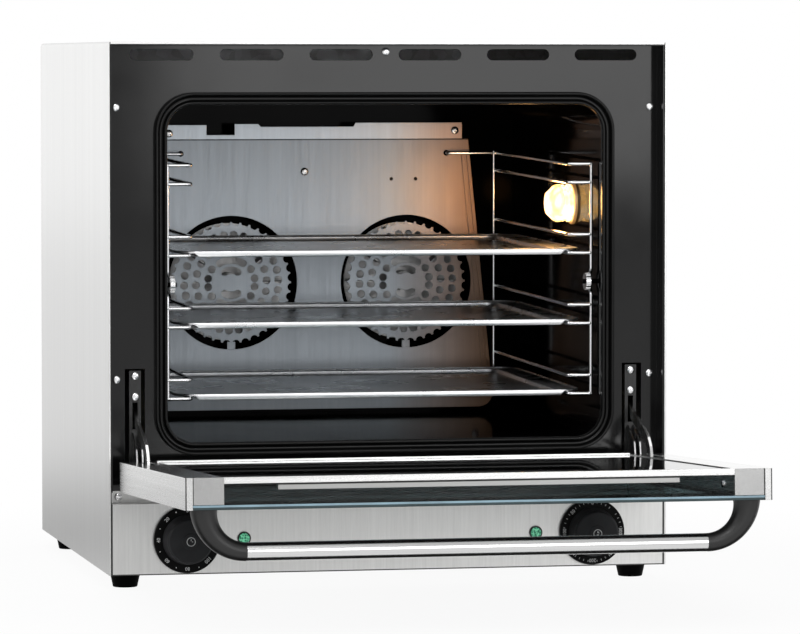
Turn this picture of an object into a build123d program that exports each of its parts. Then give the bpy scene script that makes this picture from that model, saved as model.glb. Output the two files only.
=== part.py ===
from build123d import *
import math
import os

os.makedirs("parts", exist_ok=True)

# A countertop convection oven for four shelf levels: a brushed steel casing round a black
# enamelled chamber, two fans behind a perforated baffle, wire side racks with three trays,
# a double-glazed door hinged at its lower edge, and a control panel below it.
# The piece is drawn with X to the right, Y backwards from the casing's front edge and Z up
# from the casing's underside, with the door closed. The door is then swung to its open rest
# pose, and the whole is moved so that the origin is under the middle of everything.

# Casing
casing_width = 595
casing_height = 553
casing_depth = 525
sheet = 1.2
casing_corner = 4
hem_depth = 12
hem_thickness = 2.4

# Feet
foot_height = 17
foot_top_radius = 16.5
foot_bottom_radius = 12.75
foot_x = 273
foot_y_front = 55
foot_y_rear = 470

# Control panel
panel_width = 590
panel_height = 74.3
panel_flange_top = 86
control_z = 36.6
knob_x = 216.5
pilot_x = 156

# Front plate round the chamber mouth
plate_y = 26
plate_bottom = 60
mouth_half_width = 232.5
mouth_bottom = 135.5
mouth_top = 487.5
mouth_corner = 28
vent_count = 6
vent_pitch = 95
vent_length = 67
vent_height = 11.5
vent_z = 539.7

# Door gasket
gasket_width = 13
gasket_base = 3
gasket_outer_lip = 9.4
gasket_inner_lip = 7.5
lip_thickness = 3.6

# Chamber
chamber_rear = 445
chamber_margin = 0.1
insulation_thickness = 16

# Fans, baffle and heaters
fan_x = 100
fan_z = 285
fan_radius = 66
guard_radius = 68
guard_opening = 75
guard_hole = 4.4
baffle_y = 400
heater_radius = 84
heater_tube = 3.2
shaft_radius = 3
motor_gap = 2
running_clearance = 0.05

# Side racks and trays
shelf_levels = 4
shelf_pitch = 75
top_rail_z = 424.1
rail_gap = 19.7
rail_radius = 2.0
post_radius = 1.8
rail_x = 202.7
post_x_front = 228
post_x_rear = 199.4
post_y_front = 50
post_y_rear = 391
rail_rise = 5.5
rack_nut_z = 299
tray_width = 438
tray_length = 315
tray_front = 49
tray_well_width = 390
tray_well_length = 297
tray_well_depth = 4.3
tray_edge = 1.5
tray_sheet = 1.2

# Lamp
lamp_y = 150
lamp_z = 379.5
lens_radius = 20.5
lens_reach = 29.5

# Door, drawn closed
door_width = 577.6
door_bottom = 100
door_top = 520
door_inner_y = 16
door_thickness = 31
outer_glass = 5
inner_glass = 4
stile_width = 37.3
rail_lip = 1.3
door_open_angle = 87.5

# Hinge, with its axis along X just under the door's lower edge
hinge_y = -10
hinge_z = 93
hinge_x = 266
hinge_pin_radius = 2.5
knuckle_radius = 5.5
stay_pivot_y = 0.9
stay_pivot_z = 141.5
stay_thickness = 2.8

# Handle
handle_x = 268.4
handle_tube_half = 227.5
handle_z = 501.3
handle_drop = 41
handle_radius = 9
handle_foot_radius = 13.3

half_width = casing_width / 2
wall_x = half_width - sheet
door_outer_y = door_inner_y - door_thickness
stile_outer_y = door_outer_y + outer_glass
door_half = door_width / 2
mouth_z = (mouth_bottom + mouth_top) / 2
mouth_height = mouth_top - mouth_bottom
rail_slope = math.degrees(math.atan2(rail_rise, post_y_rear - post_y_front))

nodes = {}


def block(x0, x1, y0, y1, z0, z1):
    """A box between two corners."""
    size = (x1 - x0, y1 - y0, z1 - z0)
    return Pos((x0 + x1) / 2, (y0 + y1) / 2, (z0 + z1) / 2) * Box(*size)


def rod(radius, start, end):
    """A round bar from one point to another."""
    along = Vector(*end) - Vector(*start)
    bar = Cylinder(radius, along.length, align=(Align.CENTER, Align.CENTER, Align.MIN))
    return Plane(origin=start, z_dir=along) * bar


def cone(radius_start, radius_end, start, end):
    """A round taper from one point to another."""
    along = Vector(*end) - Vector(*start)
    align = (Align.CENTER, Align.CENTER, Align.MIN)
    return Plane(origin=start, z_dir=along) * Cone(radius_start, radius_end, along.length, align=align)


def front_face(shape, y0, y1):
    """A flat outline in X and Z made solid from y0 back to y1."""
    plane = Plane(origin=(0, y1, 0), x_dir=(1, 0, 0), z_dir=(0, -1, 0))
    return extrude(plane * shape, amount=y1 - y0)


def side_face(points, x0, x1):
    """A flat outline in Y and Z made solid from x0 to x1."""
    plane = Plane(origin=(x0, 0, 0), x_dir=(0, 1, 0), z_dir=(1, 0, 0))
    return extrude(plane * make_face(Polyline(*points, close=True)), amount=x1 - x0)


def bent_wire(radius, points, bend):
    """A round wire along straight runs with rounded bends."""
    path = FilletPolyline(*points, radius=bend)
    return sweep(Plane(origin=path @ 0, z_dir=path % 0) * Circle(radius), path=path)


def mirrored(shape):
    """The same piece on the other side of the oven."""
    return mirror(shape, about=Plane.YZ)


def both_sides(name, right):
    """Files a right-hand piece and its mirror image as two nodes."""
    nodes[name + "_right"] = right
    nodes[name + "_left"] = mirrored(right)


def pan_screw(x, y, z, radius=4.2, height=2.4):
    """A pan-head screw's head on a face that looks to the front, with its short shank behind."""
    head = rod(radius, (x, y - height * 0.5, z), (x, y, z))
    head += cone(radius, radius * 0.66, (x, y - height * 0.5, z), (x, y - height, z))
    shank = rod(1.7, (x, y, z), (x, y + 6, z))
    recess = block(x - 2.4, x + 2.4, y - height - 1, y - height + 0.9, z - 0.5, z + 0.5)
    cross = block(x - 0.5, x + 0.5, y - height - 1, y - height + 0.9, z - 2.4, z + 2.4)
    return head + shank - recess - cross


def screw_hole(x, y, z):
    """Clearance for a screw's shank through a sheet."""
    return rod(1.9, (x, y - 4, z), (x, y + 8, z))


# Cabinet


def outer_casing():
    outer = block(-half_width, half_width, 0, casing_depth, 0, casing_height)
    upper = outer.edges().filter_by(Axis.Y).group_by(Axis.Z)[-1]
    outer = fillet(upper, casing_corner)
    inner = block(-wall_x, wall_x, -1, casing_depth + 1, -1, casing_height - sheet)
    inner = fillet(inner.edges().filter_by(Axis.Y).group_by(Axis.Z)[-1], casing_corner - sheet)
    shell = outer - inner
    hem_x = half_width - hem_thickness
    hem = block(-wall_x, wall_x, 0, hem_depth, 0, casing_height - sheet)
    hem -= block(-hem_x, hem_x, -1, hem_depth + 1, -1, casing_height - hem_thickness)
    hem &= inner
    return shell + hem


def cabinet_outline(bottom):
    """The outline that fits inside the casing, with its rounded top corners."""
    half = wall_x - 0.1
    top = casing_height - sheet - 0.1
    outline = Pos(0, (bottom + top) / 2) * Rectangle(2 * half, top - bottom)
    return fillet(outline.vertices().group_by(Axis.Y)[-1], casing_corner - sheet)


def base_plate():
    pan = block(-wall_x, wall_x, hem_depth + 0.2, casing_depth - sheet, 0, sheet)
    for side in (-1, 1):
        x = side * (wall_x - sheet / 2)
        pan += block(x - sheet / 2, x + sheet / 2, 30, casing_depth - 30, 0, 14)
    for column in range(-3, 4):
        for y in (150, 330):
            slot = SlotOverall(70, 6, rotation=90)
            pan -= Pos(column * 55, y, -1) * extrude(slot, amount=4)
    return pan


def rear_panel():
    panel = front_face(cabinet_outline(sheet + 0.1), casing_depth - sheet, casing_depth)
    for side in (-1, 1):
        for row in range(8):
            slot = Pos(side * fan_x, 250 + row * 16) * SlotOverall(90, 5)
            panel -= front_face(slot, casing_depth - 3, casing_depth + 1)
    panel -= rod(gland_hole, (gland_x, casing_depth - 5, gland_z), (gland_x, casing_depth + 5, gland_z))
    return panel


gland_x = -225
gland_z = 60
gland_hole = 9


def cable_gland():
    start = casing_depth
    body = rod(8.9, (gland_x, start - 14, gland_z), (gland_x, start + 9, gland_z))
    nut = Pos(gland_x, 0, gland_z) * Rot(90, 0, 0) * extrude(RegularPolygon(12, 6), amount=5)
    inner_nut = Pos(0, start - sheet, 0) * nut
    outer_nut = Pos(0, start + 5, 0) * nut
    dome = cone(10.5, 7, (gland_x, start + 5, gland_z), (gland_x, start + 13, gland_z))
    bore = rod(4, (gland_x, start - 20, gland_z), (gland_x, start + 20, gland_z))
    return body + inner_nut + outer_nut + dome - bore


def mouth_outline(grow):
    """The chamber mouth's rounded rectangle, grown by a margin all round."""
    width = 2 * (mouth_half_width + grow)
    return Pos(0, mouth_z) * RectangleRounded(width, mouth_height + 2 * grow, mouth_corner + grow)


hinge_window = (256, 277, 84, 213)
frame_screw_x = 286
frame_screw_heights = (202, 485)
hinge_screw_x = 266
hinge_screw_heights = (184, 205.5)


def front_frame():
    """The enamelled front plate, with rear flanges and forward ones that line the casing's hem."""
    plate = front_face(cabinet_outline(plate_bottom) - mouth_outline(0), plate_y, plate_y + sheet)
    lining_top = casing_height - hem_thickness - 0.1
    lining_edge = half_width - hem_thickness - 0.1
    for side in (-1, 1):
        edge = side * (wall_x - 0.1 - sheet / 2)
        plate += block(edge - sheet / 2, edge + sheet / 2, plate_y, plate_y + 18, plate_bottom + 1, 540)
        lining = side * (lining_edge - sheet / 2)
        plate += block(lining - sheet / 2, lining + sheet / 2, 0.6, plate_y + sheet / 2, 86.6, lining_top)
    plate += block(-lining_edge, lining_edge, 0.6, plate_y + sheet / 2, lining_top - sheet, lining_top)
    for number in range(vent_count):
        x = (number - (vent_count - 1) / 2) * vent_pitch
        plate -= front_face(Pos(x, vent_z) * SlotOverall(vent_length, vent_height), plate_y - 1, plate_y + 3)
    x0, x1, z0, z1 = hinge_window
    window = block(x0, x1, plate_y - 1, plate_y + 3, z0, z1)
    plate = plate - window - mirrored(window)
    plate -= screw_hole(0, plate_y, 543)
    for side in (-1, 1):
        plate -= screw_hole(side * panel_screw_x, plate_y, panel_screw_z)
        for z in frame_screw_heights:
            plate -= screw_hole(side * frame_screw_x, plate_y, z)
    return plate


panel_screw_x = 284.5
panel_screw_z = 80


def control_panel():
    half = panel_width / 2
    panel = block(-half, half, 0, sheet, 0, panel_height)
    panel += block(-half, half, 0, plate_y, panel_height - sheet, panel_height)
    panel += block(-half, half, plate_y - sheet, plate_y, panel_height - sheet, panel_flange_top)
    panel += block(-half, half, sheet, 22, sheet + 0.1, 2 * sheet + 0.1)
    for side in (-1, 1):
        panel -= rod(5.5, (side * knob_x, -1, control_z), (side * knob_x, 3, control_z))
        panel -= rod(5.1, (side * pilot_x, -1, control_z), (side * pilot_x, 3, control_z))
        panel -= screw_hole(side * panel_screw_x, plate_y - sheet, panel_screw_z)
    return panel


def door_gasket():
    ring = mouth_outline(gasket_width) - mouth_outline(0.2)
    gasket = front_face(ring, plate_y - gasket_base, plate_y)
    outer = mouth_outline(gasket_width) - mouth_outline(gasket_width - lip_thickness)
    gasket += front_face(outer, plate_y - gasket_outer_lip, plate_y - gasket_base)
    inner = mouth_outline(0.2 + lip_thickness) - mouth_outline(0.2)
    gasket += front_face(inner, plate_y - gasket_inner_lip, plate_y - gasket_base)
    return gasket


def chamber_shell():
    front = plate_y + sheet
    inner = mouth_outline(chamber_margin)
    outer = mouth_outline(chamber_margin + sheet)
    shell = front_face(outer, front, chamber_rear + sheet) - front_face(inner, front - 1, chamber_rear)
    collar = front_face(mouth_outline(10) - inner, front, front + sheet)
    shell += collar
    lamp = rod(18, (mouth_half_width - 5, lamp_y, lamp_z), (mouth_half_width + 9, lamp_y, lamp_z))
    shell -= lamp
    for side in (-1, 1):
        shell -= rod(9, (side * fan_x, chamber_rear - 5, fan_z), (side * fan_x, chamber_rear + 5, fan_z))
        for tail in (-1, 1):
            x = side * fan_x + tail * heater_tail
            shell -= rod(4, (x, chamber_rear - 5, heater_tail_z), (x, chamber_rear + 5, heater_tail_z))
        wall = mouth_half_width + chamber_margin
        stud = rod(2.5, (wall + 0.6, post_y_front, rack_nut_z), (218.5, post_y_front, rack_nut_z))
        shell += stud if side == 1 else mirrored(stud)
    return shell


heater_tail = 14
heater_tail_z = fan_z - math.sqrt(heater_radius**2 - heater_tail**2)


def insulation_blanket():
    grow = chamber_margin + sheet + 0.1
    outer = mouth_outline(grow + insulation_thickness)
    front = plate_y + 2 * sheet + 0.2
    rear = chamber_rear + sheet + 0.1
    blanket = front_face(outer, front, rear + insulation_thickness)
    blanket -= front_face(mouth_outline(grow), front - 1, rear)
    blanket -= front_face(mouth_outline(10.5), front - 1, front + 0.1)
    blanket -= rod(20, (mouth_half_width - 5, lamp_y, lamp_z), (mouth_half_width + 60, lamp_y, lamp_z))
    for side in (-1, 1):
        blanket -= rod(44, (side * fan_x, rear - 5, fan_z), (side * fan_x, rear + 60, fan_z))
        x0, x1 = side * fan_x - 24, side * fan_x + 24
        blanket -= block(x0, x1, rear - 5, rear + 60, heater_tail_z - 12, heater_tail_z + 12)
    return blanket


def foot(x, y):
    base = Plane(origin=(x, y, -foot_height)) * Circle(foot_bottom_radius)
    top = Plane(origin=(x, y, 0)) * Circle(foot_top_radius)
    body = loft([base, top])
    return fillet(body.faces().sort_by(Axis.Z)[0].edges(), 1.2)


def feet():
    return [foot(side * foot_x, y) for side in (-1, 1) for y in (foot_y_front, foot_y_rear)]


def frame_screws():
    screws = [pan_screw(0, plate_y, 543)]
    for side in (-1, 1):
        screws.append(pan_screw(side * panel_screw_x, plate_y - sheet, panel_screw_z))
        for z in frame_screw_heights:
            screws.append(pan_screw(side * frame_screw_x, plate_y, z))
        for z in hinge_screw_heights:
            screws.append(pan_screw(side * hinge_screw_x, case_y, z, height=2))
    return screws


def rear_screws():
    """The screws that hold the rear panel's flanges."""
    screws = []
    for side in (-1, 1):
        for z in (30, 200, 370, 530):
            screws.append(cone(4, 2.4, (side * 287, casing_depth, z), (side * 287, casing_depth + 2, z)))
    return screws


# Fans, heaters and baffle


def fan_motor():
    rear = chamber_rear + sheet
    plate_start = rear + insulation_thickness + motor_gap
    plate = block(fan_x - 45, fan_x + 45, plate_start, plate_start + 2, fan_z - 32, fan_z + 32)
    body = rod(29, (fan_x, plate_start + 2, fan_z), (fan_x, plate_start + 44, fan_z))
    cap = rod(16, (fan_x, plate_start + 44, fan_z), (fan_x, plate_start + 58, fan_z))
    core = block(fan_x - 34, fan_x + 34, plate_start + 12, plate_start + 32, fan_z - 30, fan_z + 30)
    motor = plate + body + cap + core
    for x in (fan_x - 26, fan_x + 26):
        for z in (fan_z - 24, fan_z + 24):
            motor += rod(3.5, (x, rear, z), (x, plate_start + 1, z))
    bore = shaft_radius + running_clearance
    return motor - rod(bore, (fan_x, rear, fan_z), (fan_x, plate_start + 50, fan_z))


def fan_wheel():
    disc_y = chamber_rear - 16
    wheel = rod(fan_radius, (fan_x, disc_y, fan_z), (fan_x, disc_y + sheet, fan_z))
    wheel += rod(11, (fan_x, disc_y - 18, fan_z), (fan_x, disc_y, fan_z))
    blade = block(fan_radius - 30, fan_radius - 2, -sheet / 2, sheet / 2, -24, 0.2)
    for number in range(10):
        turned = Rot(0, 0, number * 36) * blade
        wheel += Pos(fan_x, disc_y, fan_z) * Rot(-90, 0, 0) * turned
    shaft_end = chamber_rear + insulation_thickness + motor_gap + 48
    return wheel + rod(shaft_radius, (fan_x, disc_y, fan_z), (fan_x, shaft_end, fan_z))


def heater_ring():
    y = chamber_rear - 28
    ring = Pos(fan_x, y, fan_z) * Rot(90, 0, 0) * Torus(heater_radius, heater_tube)
    gap_x = fan_x - heater_tail
    ring -= block(gap_x, gap_x + 2 * heater_tail, y - 9, y + 9, fan_z - heater_radius - 9, fan_z)
    for tail in (-1, 1):
        x = fan_x + tail * heater_tail
        ring += Pos(x, y, heater_tail_z) * Sphere(heater_tube + 0.3)
        ring += rod(heater_tube, (x, y, heater_tail_z), (x, chamber_rear + sheet + 22, heater_tail_z))
    return ring


baffle_bottom = 142
baffle_corner = 16
baffle_top = 445.6
baffle_half_top = 171.6
baffle_half_bottom = 202
strip_top = 462.4
baffle_screw_spots = ((156.5, 455), (-170.3, 452.3), (-16.5, 409.3), (-180, 160), (180, 160))
peg_z = 429.6
peg_inner = {1: 146.4, -1: 157}
probe_x = (83, 111)
probe_z = 400.6


def fan_guards():
    """A round perforated disc behind each fan opening, held by three tongues."""
    guards = []
    for x in (-fan_x, fan_x):
        disc = Pos(x, fan_z) * Circle(guard_radius)
        for number in range(3):
            tongue = Rot(0, 0, 30 + number * 120) * Pos(guard_radius + 6, 0) * Rectangle(20, 9)
            disc += Pos(x, fan_z) * tongue
        for radius, count, phase in ((40.3, 20, 3.5), (53.6, 30, 3), (guard_radius - 0.5, 40, 4.5)):
            for number in range(count):
                hole = Pos(radius, 0) * Circle(guard_hole)
                disc -= Pos(x, fan_z) * Rot(0, 0, phase + number * 360 / count) * hole
        for half in (0, 180):
            for angle in (-34, -10, 10, 34):
                disc -= Pos(x, fan_z) * Rot(0, 0, half + angle) * Pos(26.8, 0) * Circle(guard_hole)
            for radius, reach in ((14, 32), (25.4, 32)):
                arc = CenterArc((0, 0), radius, half + 90 - reach, 2 * reach)
                disc -= Pos(x, fan_z) * SlotArc(arc, 8)
        guards.append(front_face(disc, baffle_y + sheet, baffle_y + 2 * sheet))
    return guards


def fan_baffle():
    outline = Polyline(
        (-baffle_half_bottom, baffle_bottom),
        (baffle_half_bottom, baffle_bottom),
        (baffle_half_top, baffle_top),
        (-baffle_half_top - 12, baffle_top),
        close=True,
    )
    face = make_face(outline)
    face = fillet(face.vertices().sort_by(Axis.Y)[:2], baffle_corner)
    for x in (-fan_x, fan_x):
        face -= Pos(x, fan_z) * Circle(guard_opening)
    plate = front_face(face, baffle_y, baffle_y + sheet)
    left, right = -baffle_half_top - 12, 164.8
    strip = Polyline(
        (left, baffle_top - 4),
        (right, baffle_top - 4),
        (right, strip_top + 1.5),
        (42.5, strip_top + 1.5),
        (40, strip_top - 2.9),
        (-66, strip_top - 2.9),
        (-69, strip_top + 0.3),
        (-95.6, strip_top + 0.3),
        (-95.6, strip_top - 12),
        (-127.6, strip_top - 12),
        (-127.6, strip_top - 0.8),
        (left, strip_top - 0.8),
        close=True,
    )
    plate += front_face(make_face(strip), baffle_y + sheet, baffle_y + 2 * sheet)
    spread = baffle_half_bottom - baffle_half_top
    height = baffle_top - baffle_bottom
    lean = math.degrees(math.atan2(spread, height))
    length = height / math.cos(math.radians(lean))
    middle_x = (baffle_half_top + baffle_half_bottom) / 2
    middle_z = (baffle_top + baffle_bottom) / 2
    for inset in (2.2, 8.2):
        bead = Pos(middle_x - inset, 0, middle_z) * Rot(0, -lean, 0) * Box(3.6, 2.4, length - 2 * baffle_corner)
        plate += Pos(0, baffle_y - 0.4, 0) * bead
    for x, z in baffle_screw_spots:
        plate -= rod(2.6, (x, baffle_y - 2, z), (x, baffle_y + 5, z))
    for x in probe_x:
        plate -= rod(2, (x, baffle_y - 2, probe_z), (x, baffle_y + 5, probe_z))
    for side in (-1, 1):
        x = side * peg_inner[side]
        plate -= rod(3.2, (x, baffle_y - 2, peg_z), (x, baffle_y + 5, peg_z))
    return plate


def baffle_face(z):
    """How far back the baffle's front face is at a screw's height."""
    return baffle_y + sheet if z > baffle_top else baffle_y


def baffle_screws():
    screws = []
    for x, z in baffle_screw_spots:
        face = baffle_face(z)
        head = rod(4.6, (x, face - 1.4, z), (x, face, z))
        head += cone(4.6, 3, (x, face - 1.4, z), (x, face - 2.6, z))
        screws.append(head + rod(2.4, (x, face, z), (x, face + 12, z)))
    return screws


def baffle_spacers():
    spacers = []
    for x, z in baffle_screw_spots:
        start = baffle_face(z) + sheet
        tube = rod(6, (x, start, z), (x, chamber_rear, z))
        spacers.append(tube - rod(2.5, (x, start - 1, z), (x, start + 20, z)))
    return spacers


def thermostat_bulb():
    y = baffle_y + sheet + 5
    bulb = rod(3, (probe_x[0] - 29, y, probe_z), (probe_x[1] + 29, y, probe_z))
    for x in probe_x:
        bulb += rod(1.8, (x, y, probe_z), (x, baffle_y + 0.2, probe_z))
    return bulb


# Side racks and trays


def side_rack(side):
    jog = 6
    low = top_rail_z - (shelf_levels - 1) * shelf_pitch - rail_gap
    front = [
        (post_x_front, post_y_front, low),
        (post_x_front, post_y_front, rack_nut_z - 13),
        (post_x_front, post_y_front + jog, rack_nut_z - 7),
        (post_x_front, post_y_front + jog, rack_nut_z + 7),
        (post_x_front, post_y_front, rack_nut_z + 13),
        (post_x_front, post_y_front, top_rail_z),
    ]
    rack = bent_wire(post_radius, front, 2.5)
    top = peg_z + 2
    rack += rod(post_radius, (post_x_rear, post_y_rear, low + rail_rise), (post_x_rear, post_y_rear, top))
    for level in range(shelf_levels):
        for drop in (0, rail_gap):
            z = top_rail_z - level * shelf_pitch - drop
            wire = [
                (post_x_front + 0.5, post_y_front, z),
                (rail_x, post_y_front, z),
                (rail_x, post_y_rear, z + rail_rise),
            ]
            rack += bent_wire(rail_radius, wire, 5)
    inner = peg_inner[side]
    peg = [
        (post_x_rear, post_y_rear, peg_z),
        (inner, post_y_rear, peg_z),
        (inner, baffle_y + 6, peg_z),
    ]
    rack += bent_wire(post_radius, peg, 2.5)
    return rack if side == 1 else mirrored(rack)


def rack_thumb_nuts():
    outer = post_x_front - post_radius - 0.1
    nuts = []
    for side in (-1, 1):
        nut = rod(9.2, (outer - 5, post_y_front, rack_nut_z), (outer, post_y_front, rack_nut_z))
        for number in range(16):
            angle = number * math.tau / 16
            y = post_y_front + 9.6 * math.cos(angle)
            z = rack_nut_z + 9.6 * math.sin(angle)
            nut -= rod(1, (outer - 6, y, z), (outer + 1, y, z))
        nut -= rod(2.6, (outer - 8, post_y_front, rack_nut_z), (outer + 2, post_y_front, rack_nut_z))
        nuts.append(nut if side == 1 else mirrored(nut))
    return nuts


def tray(level):
    """A shallow pressed tray: a well, a flat rim that rides on the rails and a raised edge."""
    rim_under = rail_radius + 0.1
    rim = RectangleRounded(tray_width, tray_length, 24)
    well = RectangleRounded(tray_well_width, tray_well_length, 14)
    floor = RectangleRounded(tray_well_width - 2, tray_well_length - 2, 13)
    inside = 2 * tray_sheet
    well_inner = RectangleRounded(tray_well_width - inside, tray_well_length - inside, 12.8)
    floor_inner = RectangleRounded(tray_well_width - 2 - inside, tray_well_length - 2 - inside, 11.8)
    body = loft([Pos(0, 0, -tray_well_depth) * floor, well])
    body += extrude(rim, amount=tray_sheet)
    hollow = tray_sheet - tray_well_depth
    body -= loft([Pos(0, 0, hollow) * floor_inner, Pos(0, 0, tray_sheet) * well_inner])
    edge = rim - RectangleRounded(tray_width - 4, tray_length - 4, 22)
    body += Pos(0, 0, tray_sheet) * extrude(edge, amount=tray_edge)
    z = top_rail_z - level * shelf_pitch - rail_gap
    start = Pos(0, post_y_front, z) * Rot(rail_slope, 0, 0)
    return start * Pos(0, tray_front - post_y_front + tray_length / 2, rim_under) * body


# Lamp


def lamp_housing():
    wall = mouth_half_width + chamber_margin
    ring = rod(23, (wall - 3.5, lamp_y, lamp_z), (wall, lamp_y, lamp_z))
    ring = fillet(ring.faces().sort_by(Axis.X)[0].edges(), 1.5)
    cup = rod(17.5, (wall, lamp_y, lamp_z), (wall + 26, lamp_y, lamp_z))
    hollow = rod(14, (wall - 6, lamp_y, lamp_z), (wall + 24, lamp_y, lamp_z))
    return ring + cup - hollow


def lamp_bulb():
    """A pear-shaped bulb, drawn along X and turned from its outline."""
    wall = mouth_half_width + chamber_margin
    outline = Spline((0, 0), (6.5, 1.7), (10, 9), (7.2, 17), (5.5, 21), tangents=((1, 0), (0, 1)))
    profile = make_face([outline, Polyline((5.5, 21), (5.5, 36), (0, 36), (0, 0))])
    bulb = revolve(Plane.XZ * profile, axis=Axis.Z)
    return Pos(wall - 13, lamp_y, lamp_z) * Rot(0, 90, 0) * bulb


def lamp_glass():
    face = mouth_half_width + chamber_margin - 3.5
    tip = face + 3.5 - lens_reach
    turn = Rot(0, -90, 0)
    wide = Pos(face, lamp_y, lamp_z) * turn * RegularPolygon(lens_radius, 12)
    mid = Pos(face - 14, lamp_y, lamp_z) * turn * RegularPolygon(lens_radius, 12)
    small = Pos(tip, lamp_y, lamp_z) * turn * RegularPolygon(lens_radius * 0.62, 12)
    glass = loft([wide, mid], ruled=True) + loft([mid, small], ruled=True)
    return glass - rod(15, (face + 1, lamp_y, lamp_z), (tip + 5, lamp_y, lamp_z))


# Controls


def knob(side):
    """A dial skirt with a tapered grip whose round face carries a raised button."""
    x = side * knob_x
    skirt = rod(35, (x, -5.2, control_z), (x, -0.8, control_z))
    skirt = fillet(skirt.faces().sort_by(Axis.Y)[0].edges(), 1.6)
    slope = [(26.5, 4.2), (25.2, 10), (23.6, 24.4), (21.8, 26.2)]
    profile = Polyline((0, 4.2), *slope, (8.6, 27.6), (8.2, 28.2), (0, 28.6), close=True)
    grip = revolve(Plane.XZ * make_face(profile), axis=Axis.Z)
    grip = Pos(x, 0, control_z) * Rot(90, 0, 0) * grip
    bore = rod(shaft_radius, (x, 1, control_z), (x, -18, control_z))
    return skirt + grip - bore


def control_shaft(side):
    x = side * knob_x
    return rod(shaft_radius - 0.03, (x, -17.8, control_z), (x, 20, control_z))


def control_unit(side, depth):
    """The clockwork or thermostat behind the panel, with the bore its shaft turns in."""
    x = side * knob_x
    body = block(x - 22, x + 22, 6, depth, control_z - 22, control_z + 22)
    body = fillet(body.edges().filter_by(Axis.Y), 4)
    body += rod(5.2, (x, 0.2, control_z), (x, 6, control_z))
    body += block(x - 30, x + 30, sheet, sheet + 2, control_z - 8, control_z + 8)
    body += block(x - 12, x + 12, sheet + 2, 6, control_z - 8, control_z + 8)
    for dx in (-12, 12):
        body += block(x + dx - 3, x + dx + 3, depth, depth + 8, control_z - 1, control_z + 1)
    return body - rod(shaft_radius + 0.02, (x, -1, control_z), (x, 22, control_z))


def pilot_bezels():
    bezels = []
    for side in (-1, 1):
        x = side * pilot_x
        ring = rod(7.1, (x, -2.2, control_z), (x, 0, control_z))
        ring = fillet(ring.faces().sort_by(Axis.Y)[0].edges(), 0.9)
        ring += rod(5, (x, 0, control_z), (x, 24, control_z))
        bezels.append(ring - rod(5.7, (x, -5, control_z), (x, -0.6, control_z)))
    return bezels


def pilot_lenses():
    lenses = []
    for side in (-1, 1):
        x = side * pilot_x
        lens = rod(5.5, (x, -3.4, control_z), (x, -0.6, control_z))
        lenses.append(fillet(lens.faces().sort_by(Axis.Y)[0].edges(), 1.2))
    return lenses


def terminal_block():
    block_body = block(-262, -192, casing_depth - 60, casing_depth - 36, sheet, sheet + 22)
    for number in range(5):
        x = -255 + number * 14
        block_body -= block(x - 4, x + 4, casing_depth - 52, casing_depth - 44, sheet + 12, sheet + 23)
    return block_body


# Hinges


case_y = plate_y + 2.2
case_depth = 96
case_half = 6.2


def hinge_bracket():
    """A slotted steel case behind the front plate, with two cheeks that reach out to the hinge pin."""
    x0, x1 = hinge_x - case_half, hinge_x + case_half
    face = block(x0, x1, case_y, case_y + 1.4, 86, 211)
    face -= block(hinge_x - 2.8, hinge_x + 2.8, case_y - 1, case_y + 3, 150, 178)
    for z in hinge_screw_heights:
        face -= rod(1.9, (hinge_x, case_y - 1, z), (hinge_x, case_y + 6, z))
    wall = [
        (case_y + 1.4, 100),
        (case_y + 1.4, 211),
        (case_y + 30, 211),
        (case_y + case_depth, 180),
        (case_y + case_depth, 128),
        (case_y + 30, 100),
    ]
    bracket = face + side_face(wall, x0, x0 + 1.4) + side_face(wall, x1 - 1.4, x1)
    guide_y, guide_z = stay_guide
    bracket += rod(2.5, (x0 + 0.7, guide_y, guide_z), (x1 - 0.7, guide_y, guide_z))
    cheek = [
        (case_y + 0.7, 87),
        (case_y + 0.7, 147),
        (4, 134),
        (-1.5, 131),
        (-5, 118),
        (-5.6, 101),
        (-6.4, 97.4),
        (-10, 98.4),
        (-15.2, 94.6),
        (-14.6, 90),
        (-10, 87.5),
    ]
    for inner in (hinge_x - 3.7, hinge_x + 2.2):
        bracket += side_face(cheek, inner, inner + 1.5)
    hole = hinge_pin_radius + running_clearance
    return bracket - rod(hole, (x0 - 2, hinge_y, hinge_z), (x1 + 2, hinge_y, hinge_z))


stay_guide = (36, 146)


def hinge_pins():
    pins = []
    for side in (-1, 1):
        pin = rod(hinge_pin_radius, (hinge_x - 4.6, hinge_y, hinge_z), (hinge_x + 4.6, hinge_y, hinge_z))
        for x0, x1 in ((hinge_x - 5.6, hinge_x - 4), (hinge_x + 4, hinge_x + 5.6)):
            pin += rod(3.6, (x0, hinge_y, hinge_z), (x1, hinge_y, hinge_z))
        pins.append(pin if side == 1 else mirrored(pin))
    return pins


def hinge_springs():
    springs = []
    for side in (-1, 1):
        y0, y1 = case_y + 34, case_y + case_depth - 8
        body = rod(4, (hinge_x, y0, 122), (hinge_x, y1, 136))
        hook = rod(1.2, (hinge_x - 4.8, y1, 136), (hinge_x + 4.8, y1, 136))
        spring = body + hook
        springs.append(spring if side == 1 else mirrored(spring))
    return springs


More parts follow.
